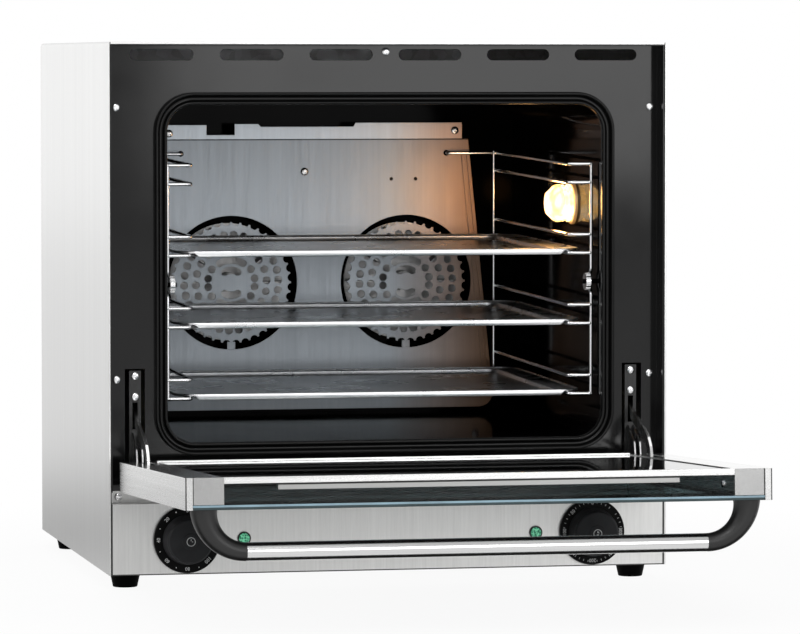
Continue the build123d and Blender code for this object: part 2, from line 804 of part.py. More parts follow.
def hinge_leaf():
    """The door's half of the hinge: a channel inside the stile with a knuckle on the pin."""
    x0, x1 = hinge_x - 6.5, hinge_x + 6.5
    back = stile_outer_y + 1
    leaf = block(x0, x1, back, back + 1.5, 103, 235)
    leaf += block(x0, x0 + 1.4, back, 11, 103, 235)
    leaf += block(x1 - 1.4, x1, back, 11, 103, 235)
    neck = [(back, 118), (-3.2, 118), (-3.2, 103), (-5, 94)]
    neck += [(-9, 92), (-13.5, 97.4), (-10, 98.5), (back, 99.6)]
    knuckle = side_face(neck, hinge_x - 1.7, hinge_x + 1.7)
    knuckle += rod(knuckle_radius, (hinge_x - 1.7, hinge_y, hinge_z), (hinge_x + 1.7, hinge_y, hinge_z))
    leaf += knuckle
    leaf -= rod(hinge_pin_radius + running_clearance, (x0 - 2, hinge_y, hinge_z), (x1 + 2, hinge_y, hinge_z))
    return leaf - rod(2.05, (x0 - 2, stay_pivot_y, stay_pivot_z), (x1 + 2, stay_pivot_y, stay_pivot_z))


def stay_pins():
    pins = []
    for side in (-1, 1):
        x0, x1 = hinge_x - 7.2, hinge_x + 7.2
        pin = rod(2, (x0, stay_pivot_y, stay_pivot_z), (x1, stay_pivot_y, stay_pivot_z))
        for x0, x1 in ((hinge_x - 7.4, hinge_x - 6.6), (hinge_x + 6.6, hinge_x + 7.4)):
            pin += rod(3.2, (x0, stay_pivot_y, stay_pivot_z), (x1, stay_pivot_y, stay_pivot_z))
        pins.append(pin if side == 1 else mirrored(pin))
    return pins


def turned_about_x(shape, degrees, y, z):
    """The shape turned about an axis along X through the point y, z."""
    return Pos(0, y, z) * Rot(degrees, 0, 0) * Pos(0, -y, -z) * shape


def opened(point_y, point_z):
    """Where a point of the closed door is once the door is open."""
    angle = math.radians(door_open_angle)
    y, z = point_y - hinge_y, point_z - hinge_z
    return (
        hinge_y + y * math.cos(angle) - z * math.sin(angle),
        hinge_z + y * math.sin(angle) + z * math.cos(angle),
    )


def stay_arm():
    """The bent flat stay that checks the open door, drawn where it is with the door open."""
    y, z = opened(stay_pivot_y, stay_pivot_z)
    outline = [
        (y - 5.6, z),
        (y - 5.6, z + 14),
        (y - 1, z + 24.5),
        (y + 8, z + 33.5),
        (y + 22, z + 40.5),
        (y + 39, z + 45.5),
        (y + 114, z + 71.5),
        (y + 118, z + 66),
        (y + 116, z + 60.5),
        (y + 46, z + 35.5),
        (y + 13, z + 21.5),
        (y + 7, z + 13.5),
        (y + 5.6, z),
    ]
    x0, x1 = hinge_x - stay_thickness / 2, hinge_x + stay_thickness / 2
    arm = side_face(outline, x0, x1) + rod(5.6, (x0, y, z), (x1, y, z))
    arm -= rod(2.05, (x0 - 1, y, z), (x1 + 1, y, z))
    return arm - rod(2.2, (x0 - 1, y + 110, z + 64.5), (x1 + 1, y + 110, z + 64.5))


# Door, drawn closed


def door_stile():
    """A folded steel side profile with an end cap and an outer wrap that covers the glass edge."""
    x0, x1 = door_half - stile_width, door_half - 1
    stile = block(x0, x1, stile_outer_y, door_inner_y, door_bottom, door_top)
    stile -= block(x0 + 1, x1, stile_outer_y + 1, door_inner_y - 1, door_bottom - 1, door_top - 1)
    stile += block(x1, door_half, door_outer_y, door_inner_y, door_bottom, door_top + 1)
    stile += block(door_half - 7, door_half, door_outer_y, door_inner_y, door_top, door_top + 1)
    slot = block(hinge_x - 6.6, hinge_x + 6.6, door_inner_y - 2, door_inner_y + 1, door_bottom - 1, 181)
    screw_z = handle_z
    hole = rod(2.8, (handle_x, stile_outer_y - 2, screw_z), (handle_x, stile_outer_y + 2, screw_z))
    return stile - slot - hole


def door_outer_glass():
    half = door_half - 1.2
    glass = block(-half, half, door_outer_y, stile_outer_y - 0.1, door_bottom, door_top - 0.2)
    for side in (-1, 1):
        x = side * handle_x
        glass -= rod(3.4, (x, door_outer_y - 1, handle_z), (x, stile_outer_y + 1, handle_z))
    return glass


def door_inner_glass():
    half = door_half - stile_width - 0.8
    return block(-half, half, door_inner_y - 0.8 - inner_glass, door_inner_y - 0.8, 105, 516)


def glass_channel(z0, z1, opening_down):
    """A folded channel across the door that holds one edge of the inner glass."""
    half = door_half - stile_width - 0.1
    channel = block(-half, half, door_inner_y - 6, door_inner_y, z0, z1)
    groove0, groove1 = (z0 - 1, 516.4) if opening_down else (104.6, z1 + 1)
    groove = block(-half - 1, half + 1, door_inner_y - 5, door_inner_y - 0.7, groove0, groove1)
    return channel - groove


def door_top_channel():
    return glass_channel(510, door_top, True)


def door_bottom_rail():
    half = door_half - stile_width - 0.1
    rail = glass_channel(door_bottom, 111, False)
    rail += block(-half, half, door_inner_y - 0.6, door_inner_y + rail_lip, door_bottom, 111)
    rail += block(-half, half, stile_outer_y, door_inner_y - 5, door_bottom, door_bottom + sheet)
    return rail + block(-half, half, stile_outer_y, stile_outer_y + sheet, door_bottom, door_bottom + 14)


def door_glass_bar():
    bar = block(-198, 198, door_inner_y - 12.6, door_inner_y - 6, 505, 513)
    return bar - block(-197, 197, door_inner_y - 11.6, door_inner_y - 7, 504, 512)


def handle_bend():
    """A moulded elbow that swells from the tube's size to a broad foot on the glass."""
    sections = []
    steps = 6
    for step in range(steps + 1):
        share = step / steps
        angle = share * math.pi / 2
        x = handle_tube_half + (handle_x - handle_tube_half) * math.sin(angle)
        y = door_outer_y - handle_drop * math.cos(angle)
        radius = handle_radius + (handle_foot_radius - handle_radius) * share**1.6
        direction = (
            (handle_x - handle_tube_half) * math.cos(angle),
            handle_drop * math.sin(angle),
            0,
        )
        plane = Plane(origin=(x, y, handle_z), x_dir=(0, 0, 1), z_dir=direction)
        sections.append(plane * Circle(radius))
    bend = loft(sections)
    spigot_start = (handle_tube_half - 14, door_outer_y - handle_drop, handle_z)
    spigot_end = (handle_tube_half + 1, door_outer_y - handle_drop, handle_z)
    bend += rod(handle_radius - 1.3, spigot_start, spigot_end)
    return bend - rod(2.55, (handle_x, door_outer_y + 1, handle_z), (handle_x, door_outer_y - 14, handle_z))


def handle_tube():
    y = door_outer_y - handle_drop
    start, end = (-handle_tube_half, y, handle_z), (handle_tube_half, y, handle_z)
    return rod(handle_radius, start, end) - rod(handle_radius - 1.2, start, end)


def handle_screws():
    screws = []
    for side in (-1, 1):
        x = side * handle_x
        y = stile_outer_y + 1
        screw = rod(4.5, (x, y, handle_z), (x, y + 3, handle_z))
        screws.append(screw + rod(2.5, (x, y, handle_z), (x, door_outer_y - 12, handle_z)))
    return screws


def stile_screws():
    screws = []
    for side in (-1, 1):
        inner = door_half - stile_width
        head = rod(3.6, (inner - 1.8, -0.5, 478), (inner, -0.5, 478))
        head = fillet(head.faces().sort_by(Axis.X)[0].edges(), 1.1)
        screws.append(head if side == 1 else mirrored(head))
    return screws


def make_root():
    nodes["outer_casing"] = outer_casing()
    nodes["base_plate"] = base_plate()
    nodes["rear_panel"] = rear_panel()
    nodes["cable_gland"] = cable_gland()
    nodes["front_frame"] = front_frame()
    nodes["control_panel"] = control_panel()
    nodes["door_gasket"] = door_gasket()
    nodes["chamber_shell"] = chamber_shell()
    nodes["insulation_blanket"] = insulation_blanket()
    nodes["feet"] = feet()
    nodes["cabinet_screws"] = frame_screws() + rear_screws()
    both_sides("fan_motor", fan_motor())
    both_sides("heater_ring", heater_ring())
    nodes["fan_baffle"] = fan_baffle()
    nodes["fan_guards"] = fan_guards()
    nodes["baffle_screws"] = baffle_screws()
    nodes["baffle_spacers"] = baffle_spacers()
    nodes["thermostat_bulb"] = thermostat_bulb()
    nodes["side_rack_right"] = side_rack(1)
    nodes["side_rack_left"] = side_rack(-1)
    nodes["rack_thumb_nuts"] = rack_thumb_nuts()
    nodes["lamp_housing"] = lamp_housing()
    nodes["lamp_bulb"] = lamp_bulb()
    nodes["lamp_glass"] = lamp_glass()
    nodes["timer_unit"] = control_unit(-1, 62)
    nodes["thermostat_unit"] = control_unit(1, 48)
    nodes["pilot_bezels"] = pilot_bezels()
    nodes["pilot_lenses"] = pilot_lenses()
    nodes["terminal_block"] = terminal_block()
    both_sides("hinge_bracket", hinge_bracket())
    nodes["hinge_pins"] = hinge_pins()
    nodes["hinge_springs"] = hinge_springs()


def make_door():
    closed = {
        "door_stile_right": door_stile(),
        "door_stile_left": mirrored(door_stile()),
        "door_outer_glass": door_outer_glass(),
        "door_inner_glass": door_inner_glass(),
        "door_top_channel": door_top_channel(),
        "door_bottom_rail": door_bottom_rail(),
        "door_glass_bar": door_glass_bar(),
        "handle_tube": handle_tube(),
        "handle_bend_right": handle_bend(),
        "handle_bend_left": mirrored(handle_bend()),
        "door_screws": handle_screws() + stile_screws(),
        "hinge_leaf_right": hinge_leaf(),
        "hinge_leaf_left": mirrored(hinge_leaf()),
        "stay_pins": stay_pins(),
    }
    for name, shape in closed.items():
        pieces = shape if isinstance(shape, list) else [shape]
        turned = [turned_about_x(piece, door_open_angle, hinge_y, hinge_z) for piece in pieces]
        nodes[name] = turned if isinstance(shape, list) else turned[0]


def make_moving():
    both_sides("stay_arm", stay_arm())
    both_sides("fan_wheel", fan_wheel())
    nodes["timer_knob"] = knob(-1)
    nodes["timer_shaft"] = control_shaft(-1)
    nodes["thermostat_knob"] = knob(1)
    nodes["thermostat_shaft"] = control_shaft(1)
    for level, name in ((1, "tray_upper"), (2, "tray_middle"), (3, "tray_lower")):
        nodes[name] = tray(level)


def write_all():
    """Moves everything so that the origin is under the middle, and writes one file per node."""
    whole = {}
    for name, shape in nodes.items():
        pieces = shape if isinstance(shape, list) else [shape]
        whole[name] = Compound(children=[solid for piece in pieces for solid in piece.solids()])
    boxes = [shape.bounding_box() for shape in whole.values()]
    front = min(box.min.Y for box in boxes)
    rear = max(box.max.Y for box in boxes)
    shift_y = -(front + rear) / 2
    for name, shape in whole.items():
        export_step(Pos(0, shift_y, foot_height) * shape, "parts/" + name + ".step")
    stay_y, stay_z = opened(stay_pivot_y, stay_pivot_z)
    print("front", round(front, 2), "rear", round(rear, 2), "shift y", round(shift_y, 3))
    print("hinge axis", round(hinge_y + shift_y, 3), hinge_z + foot_height)
    print("stay pivot", round(stay_y + shift_y, 3), round(stay_z + foot_height, 3))
    print("fan axis", fan_x, fan_z + foot_height)
    print("knob axis", knob_x, control_z + foot_height)
    print("rail slope", round(rail_slope, 4))


make_root()
make_door()
make_moving()
write_all()
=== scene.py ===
from math import atan2, cos, pi, radians, sin, tau

import bmesh
import bpy
from mathutils import Matrix, Vector


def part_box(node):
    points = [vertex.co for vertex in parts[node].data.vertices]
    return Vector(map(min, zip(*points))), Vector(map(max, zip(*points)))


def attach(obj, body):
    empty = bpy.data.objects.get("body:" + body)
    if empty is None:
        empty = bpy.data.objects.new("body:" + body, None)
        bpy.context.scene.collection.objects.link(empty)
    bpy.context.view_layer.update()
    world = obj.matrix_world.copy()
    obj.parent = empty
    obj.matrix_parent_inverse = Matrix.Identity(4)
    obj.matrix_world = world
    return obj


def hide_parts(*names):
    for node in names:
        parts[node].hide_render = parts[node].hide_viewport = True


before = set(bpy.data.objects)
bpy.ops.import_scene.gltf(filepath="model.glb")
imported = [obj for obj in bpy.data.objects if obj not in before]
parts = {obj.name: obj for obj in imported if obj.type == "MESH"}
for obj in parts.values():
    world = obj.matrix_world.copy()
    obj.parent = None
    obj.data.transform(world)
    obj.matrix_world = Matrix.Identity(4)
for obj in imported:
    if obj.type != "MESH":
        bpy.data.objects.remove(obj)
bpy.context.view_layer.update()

scene = bpy.context.scene

# Studio. The oven stands on a pale floor in plain soft light. The camera looks at it from the
# left through a long lens, a little above the level of the casing's top.
casing_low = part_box("outer_casing")[0]


def place(x, y, z):
    """Millimetres from the middle of the casing's lower front edge, as a point of the frame."""
    return Vector((x / 1000, casing_low.y + y / 1000, casing_low.z + z / 1000))


def shown(name, data):
    """A new object in the scene."""
    made = bpy.data.objects.new(name, data)
    scene.collection.objects.link(made)
    return made


camera_data = bpy.data.cameras.new("camera")
camera_data.sensor_width = 36
camera_data.lens = 222.1
camera_data.clip_end = 100
camera = shown("camera", camera_data)
camera.location = place(-1039.8, -5048.9, 532.0)
camera.rotation_euler = (radians(90 - 2.957), 0, radians(-11.745))
scene.camera = camera
scene.view_settings.view_transform = "Standard"


def add(tree, kind, inputs=None, **settings):
    """A new node with its settings, and its inputs linked to sockets or set to values."""
    node = tree.nodes.new(kind)
    for label, value in settings.items():
        setattr(node, label, value)
    return fill(node, inputs or {})


def fill(node, inputs):
    """Links or sets the inputs of a node that is there already."""
    for label, value in inputs.items():
        if isinstance(value, bpy.types.NodeSocket):
            node.id_data.links.new(value, node.inputs[label])
        else:
            node.inputs[label].default_value = value
    return node


def plain_material(name):
    """A new material with its shader and its object coordinates."""
    material = bpy.data.materials.new(name)
    material.use_nodes = True
    tree = material.node_tree
    coordinates = add(tree, "ShaderNodeTexCoord")
    return material, tree.nodes["Principled BSDF"], coordinates.outputs["Object"]


def joined(operation, first, second):
    """Two grey sockets or numbers put together by one sum."""
    return add(first.id_data, "ShaderNodeMath", {0: first, 1: second}, operation=operation).outputs[0]


def rays(tree, *kinds):
    """A socket that is 1 for the named kinds of ray and 0 for all others."""
    path = add(tree, "ShaderNodeLightPath")
    value = path.outputs[kinds[0]]
    for kind in kinds[1:]:
        value = joined("MAXIMUM", value, path.outputs[kind])
    return value


def spread(value, from_low, from_high, low, high):
    """A grey value carried from one range to another."""
    return add(value.id_data, "ShaderNodeMapRange", {
        "Value": value, "From Min": from_low, "From Max": from_high, "To Min": low, "To Max": high,
    }).outputs["Result"]


def band(position, axis, *ends):
    """A mask that is 1 where one coordinate lies between two values in metres."""
    low, high = sorted(ends)
    tree = position.id_data
    split = add(tree, "ShaderNodeSeparateXYZ", {0: position})
    return add(tree, "ShaderNodeMath", {
        0: split.outputs[axis], 1: (low + high) / 2, 2: (high - low) / 2,
    }, operation="COMPARE").outputs[0]


world = bpy.data.worlds.new("studio")
scene.world = world
world.use_nodes = True
tree = world.node_tree
soft_light = fill(tree.nodes["Background"], {"Color": (0.97, 0.98, 1.0, 1), "Strength": 0.55})
direction = add(tree, "ShaderNodeTexCoord")
heading = add(tree, "ShaderNodeSeparateXYZ", {0: direction.outputs["Generated"]})
room_wall = spread(heading.outputs["Y"], -0.5, 0.4, 0.70, 1.0)
seen = rays(tree, "Is Camera Ray", "Is Transmission Ray")
white_room = add(tree, "ShaderNodeBackground", {
    "Color": (1, 1, 1, 1), "Strength": joined("MAXIMUM", room_wall, seen),
})
world_mix = add(tree, "ShaderNodeMixShader", {
    "Fac": rays(tree, "Is Camera Ray", "Is Glossy Ray", "Is Transmission Ray"),
    1: soft_light.outputs[0], 2: white_room.outputs[0],
})
fill(tree.nodes["World Output"], {"Surface": world_mix.outputs[0]})

# The floor keeps the oven's shadow near it and turns white further off. In glossy rays it carries
# painted shade: a painted shadow strip in front of the panel and a greyer floor behind the left side.
floor_material, shader, position = plain_material("pale_floor")
tree = shader.id_data
fill(shader, {"Base Color": (0.86, 0.86, 0.86, 1), "Roughness": 0.9, "Specular IOR Level": 0.1})
away = add(tree, "ShaderNodeVectorMath", {0: position}, operation="LENGTH")
far_white = spread(away.outputs["Value"], 0.5, 1.0, 0.93, 1.0)
painted_shadow_strip = band(position, "Y", -0.50, -0.37)
near_mirrored = spread(painted_shadow_strip, 0, 1, 1.0, 0.02)
behind_left = add(tree, "ShaderNodeVectorMath", {0: position, 1: (-0.8, 0.6, 0)}, operation="DISTANCE")
painted_shade_far = spread(behind_left.outputs["Value"], 0.3, 1.2, 0.42, 0.97)
mirrored = joined("MINIMUM", near_mirrored, painted_shade_far)
seen = rays(tree, "Is Camera Ray", "Is Transmission Ray")
white = add(tree, "ShaderNodeEmission", {"Strength": joined("MAXIMUM", mirrored, seen)})
to_camera = joined("MULTIPLY", seen, far_white)
floor_mix = add(tree, "ShaderNodeMixShader", {
    "Fac": joined("MAXIMUM", to_camera, rays(tree, "Is Glossy Ray")),
    1: shader.outputs[0], 2: white.outputs[0],
})
fill(tree.nodes["Material Output"], {"Surface": floor_mix.outputs[0]})
floor_edge = 9
floor_mesh = bpy.data.meshes.new("floor")
corners = [(floor_edge * x, floor_edge * y, 0) for x, y in ((-1, -1), (1, -1), (1, 1), (-1, 1))]
floor_mesh.from_pydata(corners, [], [(0, 1, 2, 3)])
floor_mesh.materials.append(floor_material)
floor = shown("floor", floor_mesh)


def soft_box(name, location, target, width, height, power):
    """A large soft lamp that faces a point and isn't itself seen."""
    data = bpy.data.lights.new(name, "AREA")
    data.shape = "RECTANGLE"
    data.size = width
    data.size_y = height
    data.energy = power
    lamp = shown(name, data)
    lamp.location = location
    lamp.rotation_euler = (Vector(target) - Vector(location)).to_track_quat("-Z", "Y").to_euler()
    lamp.visible_camera = False


soft_box("lamp_left", (-2.6, -1.0, 1.9), (0, 0, 0.35), 1.6, 1.6, 16)
soft_box("lamp_behind_left", (-1.3, 2.8, 1.0), (-0.3, 0, 0.4), 1.5, 1.5, 2.5)
soft_box("lamp_front", (1.04, -3.1, 0.84), (0, 0, 0.35), 1.6, 1.0, 14)
soft_box("lamp_high_front", (-0.6, -3.2, 2.5), (0, 0, 0.3), 1.6, 1.2, 26)
soft_box("lamp_above", (0.0, 0.2, 2.6), (0, 0, 0.3), 1.8, 1.8, 13)

# Casing. One stainless sheet is folded over both sides and the top, with a narrow hem at the
# front. Its fine brushing runs up the sides and across the top, as it does along the coil.


def noise(vector, scale, detail=3.0, roughness=0.55):
    """A noise pattern of one scale, or stretched by three, as a grey value."""
    if isinstance(scale, int):
        scale = (scale, scale, scale)
    tree = vector.id_data
    stretch = add(tree, "ShaderNodeMapping", {"Vector": vector, "Scale": scale})
    return add(tree, "ShaderNodeTexNoise", {
        "Vector": stretch.outputs["Vector"], "Scale": 1.0, "Detail": detail, "Roughness": roughness,
    }).outputs["Fac"]


def between(value, low, high):
    """A grey pattern spread between two numbers."""
    return spread(value, 0.3, 0.7, low, high)


def toned(value, dark, light, start=0.3):
    """A grey pattern turned into a colour between two colours."""
    ramp = add(value.id_data, "ShaderNodeValToRGB", {"Fac": value})
    for stop, spot, colour in zip(ramp.color_ramp.elements, (start, 0.7), (dark, light)):
        stop.position = spot
        stop.color = (*colour, 1)
    return ramp.outputs["Color"]


def varied(value, colour, dark, light):
    """A grey pattern turned into a darker and a lighter shade of one colour."""
    return toned(value, *(tuple(min(1.0, c * factor) for c in colour) for factor in (dark, light)))


def relief(value, depth, strength, edge=0.0):
    """A fine height pattern on softened edges, as a normal for the shader."""
    bump = add(value.id_data, "ShaderNodeBump", {"Distance": depth, "Strength": strength, "Height": value})
    if edge:
        soft_edge = add(value.id_data, "ShaderNodeBevel", {"Radius": edge}, samples=4)
        fill(bump, {"Normal": soft_edge.outputs["Normal"]})
    return bump.outputs["Normal"]


def shaded(shader, mask, tint):
    """Multiplies the base colour by a tint, or by a grey, where a mask is 1."""
    if isinstance(tint, float):
        tint = (tint, tint, tint)
    mix = add(mask.id_data, "ShaderNodeMix", {
        "Factor": mask, 6: shader.inputs["Base Color"].links[0].from_socket, 7: (*tint, 1),
    }, data_type="RGBA", blend_type="MULTIPLY")
    fill(shader, {"Base Color": mix.outputs[2]})


def changed(shader, label, mask, value):
    """Gives a linked or plain shader number another value where a mask is 1."""
    socket = shader.inputs[label]
    before = socket.links[0].from_socket if socket.is_linked else socket.default_value
    mix = add(mask.id_data, "ShaderNodeMix", {"Factor": mask, 2: before, 3: value})
    fill(shader, {label: mix.outputs[0]})


def both_sides(position, low, high):
    """A mask that is 1 between two distances from the middle, on the left and on the right."""
    left, right = (band(position, "X", side * low, side * high) for side in (-1, 1))
    return joined("MAXIMUM", left, right)


def opened(material):
    """The shader and the object coordinates of a material made before."""
    nodes = material.node_tree.nodes
    coordinates = next(node for node in nodes if node.type == "TEX_COORD")
    return nodes["Principled BSDF"], coordinates.outputs["Object"]


def brushed_steel(name, colour, grain, cross_grain=None, rough=(0.27, 0.40), edge=0.0005,
                  depth=0.00002, tilt=0.0):
    """Sheet steel with long fine scratches; faces that look up may have them another way."""
    material, shader, position = plain_material(name)
    tree = shader.id_data
    normal = position.node.outputs["Normal"]
    if tilt:
        tilted = {"Vector": position, "Angle": tilt}
        position = add(tree, "ShaderNodeVectorRotate", tilted, rotation_type="X_AXIS").outputs[0]
    coarser = 0.13
    fine = noise(position, grain, 4.0, 0.6)
    broad = noise(position, tuple(s * coarser for s in grain), 2.0)
    if cross_grain:
        parts_of_normal = add(tree, "ShaderNodeSeparateXYZ", {0: normal})
        steep = add(tree, "ShaderNodeMath", {0: parts_of_normal.outputs["Z"]}, operation="ABSOLUTE")
        upward = joined("GREATER_THAN", steep.outputs[0], 0.6)
        mixed = []
        for first, factor in ((fine, 1.0), (broad, coarser)):
            other = noise(position, tuple(s * factor for s in cross_grain), 4.0, 0.6)
            pick = add(tree, "ShaderNodeMix", {"Factor": upward, 2: first, 3: other})
            mixed.append(pick.outputs[0])
        fine, broad = mixed
    both = add(tree, "ShaderNodeMix", {"Factor": 0.45, 2: fine, 3: broad})
    fill(shader, {
        "Metallic": 1.0,
        "Base Color": varied(both.outputs[0], colour, 0.90, 1.08),
        "Roughness": between(fine, *rough),
        "Normal": relief(fine, depth, 0.5, edge),
    })
    return material


def finish(material, *names):
    """Gives carried-over CAD nodes their finish."""
    for name in names:
        parts[name].data.materials.clear()
        parts[name].data.materials.append(material)


casing_finish = brushed_steel("casing_brushed", (0.68, 0.68, 0.675), (2600, 2600, 5), (5, 2600, 2600))
shader, position = opened(casing_finish)
hem_face = band(position, "Y", casing_low.y - 0.001, casing_low.y + 0.0003)
seam = both_sides(position, 0.2949, 0.2960)
shaded(shader, joined("MULTIPLY", hem_face, seam), 0.05)
finish(casing_finish, "outer_casing")

# Base plate and rear panel. Both are zinc-plated steel with a faint spangle; the base has long
# slots that let air in, and the rear panel has two fields of slots behind the fan motors.
zinc_finish, shader, position = plain_material("zinc_plate")
spangle = add(position.id_data, "ShaderNodeTexVoronoi", {"Scale": 90, "Vector": position})
fill(shader, {
    "Base Color": toned(spangle.outputs["Color"], (0.50, 0.51, 0.52), (0.62, 0.63, 0.65)),
    "Roughness": between(noise(position, 60), 0.32, 0.48),
    "Normal": relief(noise(position, 300), 0.00002, 0.4, 0.0004),
    "Metallic": 1.0,
})
finish(zinc_finish, "base_plate", "rear_panel")

# Rear louvres. A pressed hood stands over each slot of the rear panel, so that warm air leaves
# and nothing falls in. Each is the panel's own metal, pushed out and open along its lower side.


def new_tree(name, inputs):
    """An empty Geometry Nodes tree with named inputs, and the sockets that give them."""
    group = bpy.data.node_groups.new(name, "GeometryNodeTree")
    for label, kind in inputs:
        group.interface.new_socket(label, in_out="INPUT", socket_type="NodeSocket" + kind)
    group.interface.new_socket("Geometry", in_out="OUTPUT", socket_type="NodeSocketGeometry")
    return group, group.nodes.new("NodeGroupInput").outputs


def grow(tree, kind, inputs=None, **settings):
    """The first output of a new Geometry Nodes node."""
    return add(tree, "GeometryNode" + kind, inputs, **settings).outputs[0]


def along_z(value):
    """A vector that points along Z, of a given length."""
    return add(value.id_data, "ShaderNodeCombineXYZ", {"Z": value}).outputs[0]


def ended(tree, given, shape):
    """Ends a tree: the instances are made real, get their finish and are put out."""
    real = grow(tree, "RealizeInstances", {0: shape})
    painted = grow(tree, "SetMaterial", {"Geometry": real, "Material": given["Finish"]})
    add(tree, "NodeGroupOutput", {0: painted})


def grown(name, group, source, values):
    """The plain mesh that a tree makes from a mesh or curve and named values."""
    start = shown(name + "_start", source)
    modifier = start.modifiers.new("grow", "NODES")
    modifier.node_group = group
    for item in group.interface.items_tree:
        if item.item_type == "SOCKET" and item.in_out == "INPUT" and item.name in values:
            modifier[item.identifier] = values[item.name]
    bpy.context.view_layer.update()
    evaluated = start.evaluated_get(bpy.context.evaluated_depsgraph_get())
    mesh = bpy.data.meshes.new_from_object(evaluated)
    mesh.name = name
    start.modifiers.remove(modifier)
    bpy.data.objects.remove(start)
    return mesh


def piece(name, mesh, body, replaces=(), material=None, sharp=32):
    """Puts a finished mesh in the scene on its body, shaded smooth up to an angle."""
    if material:
        mesh.materials.clear()
        mesh.materials.append(material)
    for face in mesh.polygons:
        face.use_smooth = True
    mesh.set_sharp_from_angle(angle=radians(sharp))
    made = shown(name, mesh)
    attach(made, body)
    if replaces:
        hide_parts(*replaces)
    return made


def mesh_of(name, points, faces):
    """A mesh from points in metres, with its faces turned outwards."""
    mesh = bpy.data.meshes.new(name)
    mesh.from_pydata([tuple(p) for p in points], [], faces)
    shape = bmesh.new()
    shape.from_mesh(mesh)
    bmesh.ops.remove_doubles(shape, verts=shape.verts, dist=1e-7)
    bmesh.ops.recalc_face_normals(shape, faces=shape.faces)
    shape.to_mesh(mesh)
    shape.free()
    return mesh


hood_length, hood_height, hood_reach, hood_sheet = 0.092, 0.009, 0.004, 0.0007
hood_ends, hood_steps = 12, 8
field_x, field_z, rear_face = 100, 251.5, 525.05
hood_points, hood_faces = [], []
for end in range(hood_ends + 1):
    along = end / hood_ends
    taper = min(1.0, 6 * min(along, 1 - along) + 0.02)
    for step in range(hood_steps + 1):
        turn = pi / 2 * step / hood_steps
        hood_points.append((
            (along - 0.5) * hood_length,
            hood_reach * sin(turn) * taper,
            hood_height * (cos(turn) - 0.5),
        ))
for end in range(hood_ends):
    for step in range(hood_steps):
        a = end * (hood_steps + 1) + step
        hood_faces.append((a, a + 1, a + hood_steps + 2, a + hood_steps + 1))
hood_mesh = mesh_of("louvre_hood", hood_points, hood_faces)
hood = bpy.data.objects.new("louvre_hood_shape", hood_mesh)
louvre_tree, given = new_tree("louvre_field", [
    ("Geometry", "Geometry"), ("Hood", "Object"), ("Rows", "Int"), ("Pitch", "Float"),
    ("Finish", "Material"),
])
step_up = along_z(given["Pitch"])
rows = grow(louvre_tree, "MeshLine", {"Count": given["Rows"], "Offset": step_up})
hood_shape = add(louvre_tree, "GeometryNodeObjectInfo", {"Object": given["Hood"]})
on_rows = grow(louvre_tree, "InstanceOnPoints", {
    "Points": rows, "Instance": hood_shape.outputs["Geometry"],
})
on_fields = grow(louvre_tree, "InstanceOnPoints", {
    "Points": given["Geometry"], "Instance": on_rows,
})
ended(louvre_tree, given, on_fields)
field_points = bpy.data.meshes.new("louvre_fields")
field_points.from_pydata([place(x, rear_face, field_z) for x in (-field_x, field_x)], [], [])
louvres = grown("rear_louvres", louvre_tree, field_points, {
    "Hood": hood, "Rows": 8, "Pitch": 0.016, "Finish": zinc_finish,
})
bpy.data.objects.remove(hood)
shape = bmesh.new()
shape.from_mesh(louvres)
bmesh.ops.solidify(shape, geom=shape.faces, thickness=hood_sheet)
bmesh.ops.recalc_face_normals(shape, faces=shape.faces)
shape.to_mesh(louvres)
shape.free()
piece("rear_louvres", louvres, "oven")

# Cable gland and feet. The gland is moulded black plastic, screwed through the rear panel where a
# lead would leave. The feet are turned rubber, each held by a screw up through the base plate.


def moulded(name, colour, rough, grain=700, depth=0.00003, strength=0.35, edge=0.0006):
    """Moulded plastic or rubber with a fine matt texture."""
    material, shader, position = plain_material(name)
    blotch = noise(position, 25)
    fill(shader, {
        "Base Color": varied(blotch, colour, 0.8, 1.25),
        "Roughness": between(blotch, *rough),
        "Normal": relief(noise(position, grain, 2.0), depth, strength, edge),
    })
    return material


gland_plastic = moulded("gland_plastic", (0.02, 0.02, 0.021), (0.42, 0.52))
foot_rubber = moulded("foot_rubber", (0.0022, 0.0022, 0.0022), (0.5, 0.6), 900, 0.00005)
fill(opened(foot_rubber)[0], {"Specular IOR Level": 0.02})
finish(gland_plastic, "cable_gland")
finish(foot_rubber, "feet")

# Front plate and chamber. Both are steel with glossy black enamel fired on in one coat, which
# pulls slightly uneven over the flat faces and mirrors what is near it.


def enamel(name, colour, rough, edge, gloss):
    """Fired enamel: a deep colour under a glassy skin that mirrors more or less."""
    material, shader, position = plain_material(name)
    swell = noise(position, 14, 2.0)
    fill(shader, {
        "Base Color": varied(swell, colour, 0.75, 1.3),
        "Roughness": between(swell, *rough),
        "Normal": relief(noise(position, 420, 1.0), 0.00001, 0.25, edge),
        "Specular IOR Level": gloss,
    })
    return material


plate_enamel = enamel("plate_enamel", (0.0035, 0.0035, 0.0036), (0.08, 0.13), 0.0006, 0.34)
chamber_enamel = enamel("chamber_enamel", (0.0014, 0.0014, 0.0016), (0.06, 0.11), 0.0008, 0.02)
finish(plate_enamel, "front_frame")
finish(chamber_enamel, "chamber_shell")

# Door gasket. A black silicone profile is pressed into a groove round the mouth: a flat base, a
# tall outer lip and a lower inner lip, both rounded, with a channel between them.


def rounded_ring(half_x, half_y, radius, steps=10):
    """Points round a rounded rectangle, the same number for any size."""
    ring = []
    for quarter, (sx, sy) in enumerate(((1, 1), (-1, 1), (-1, -1), (1, -1))):
        cx, cy = sx * (half_x - radius), sy * (half_y - radius)
        for step in range(steps + 1):
            turn = pi / 2 * (quarter + step / steps)
            ring.append((cx + radius * cos(turn), cy + radius * sin(turn)))
    return ring


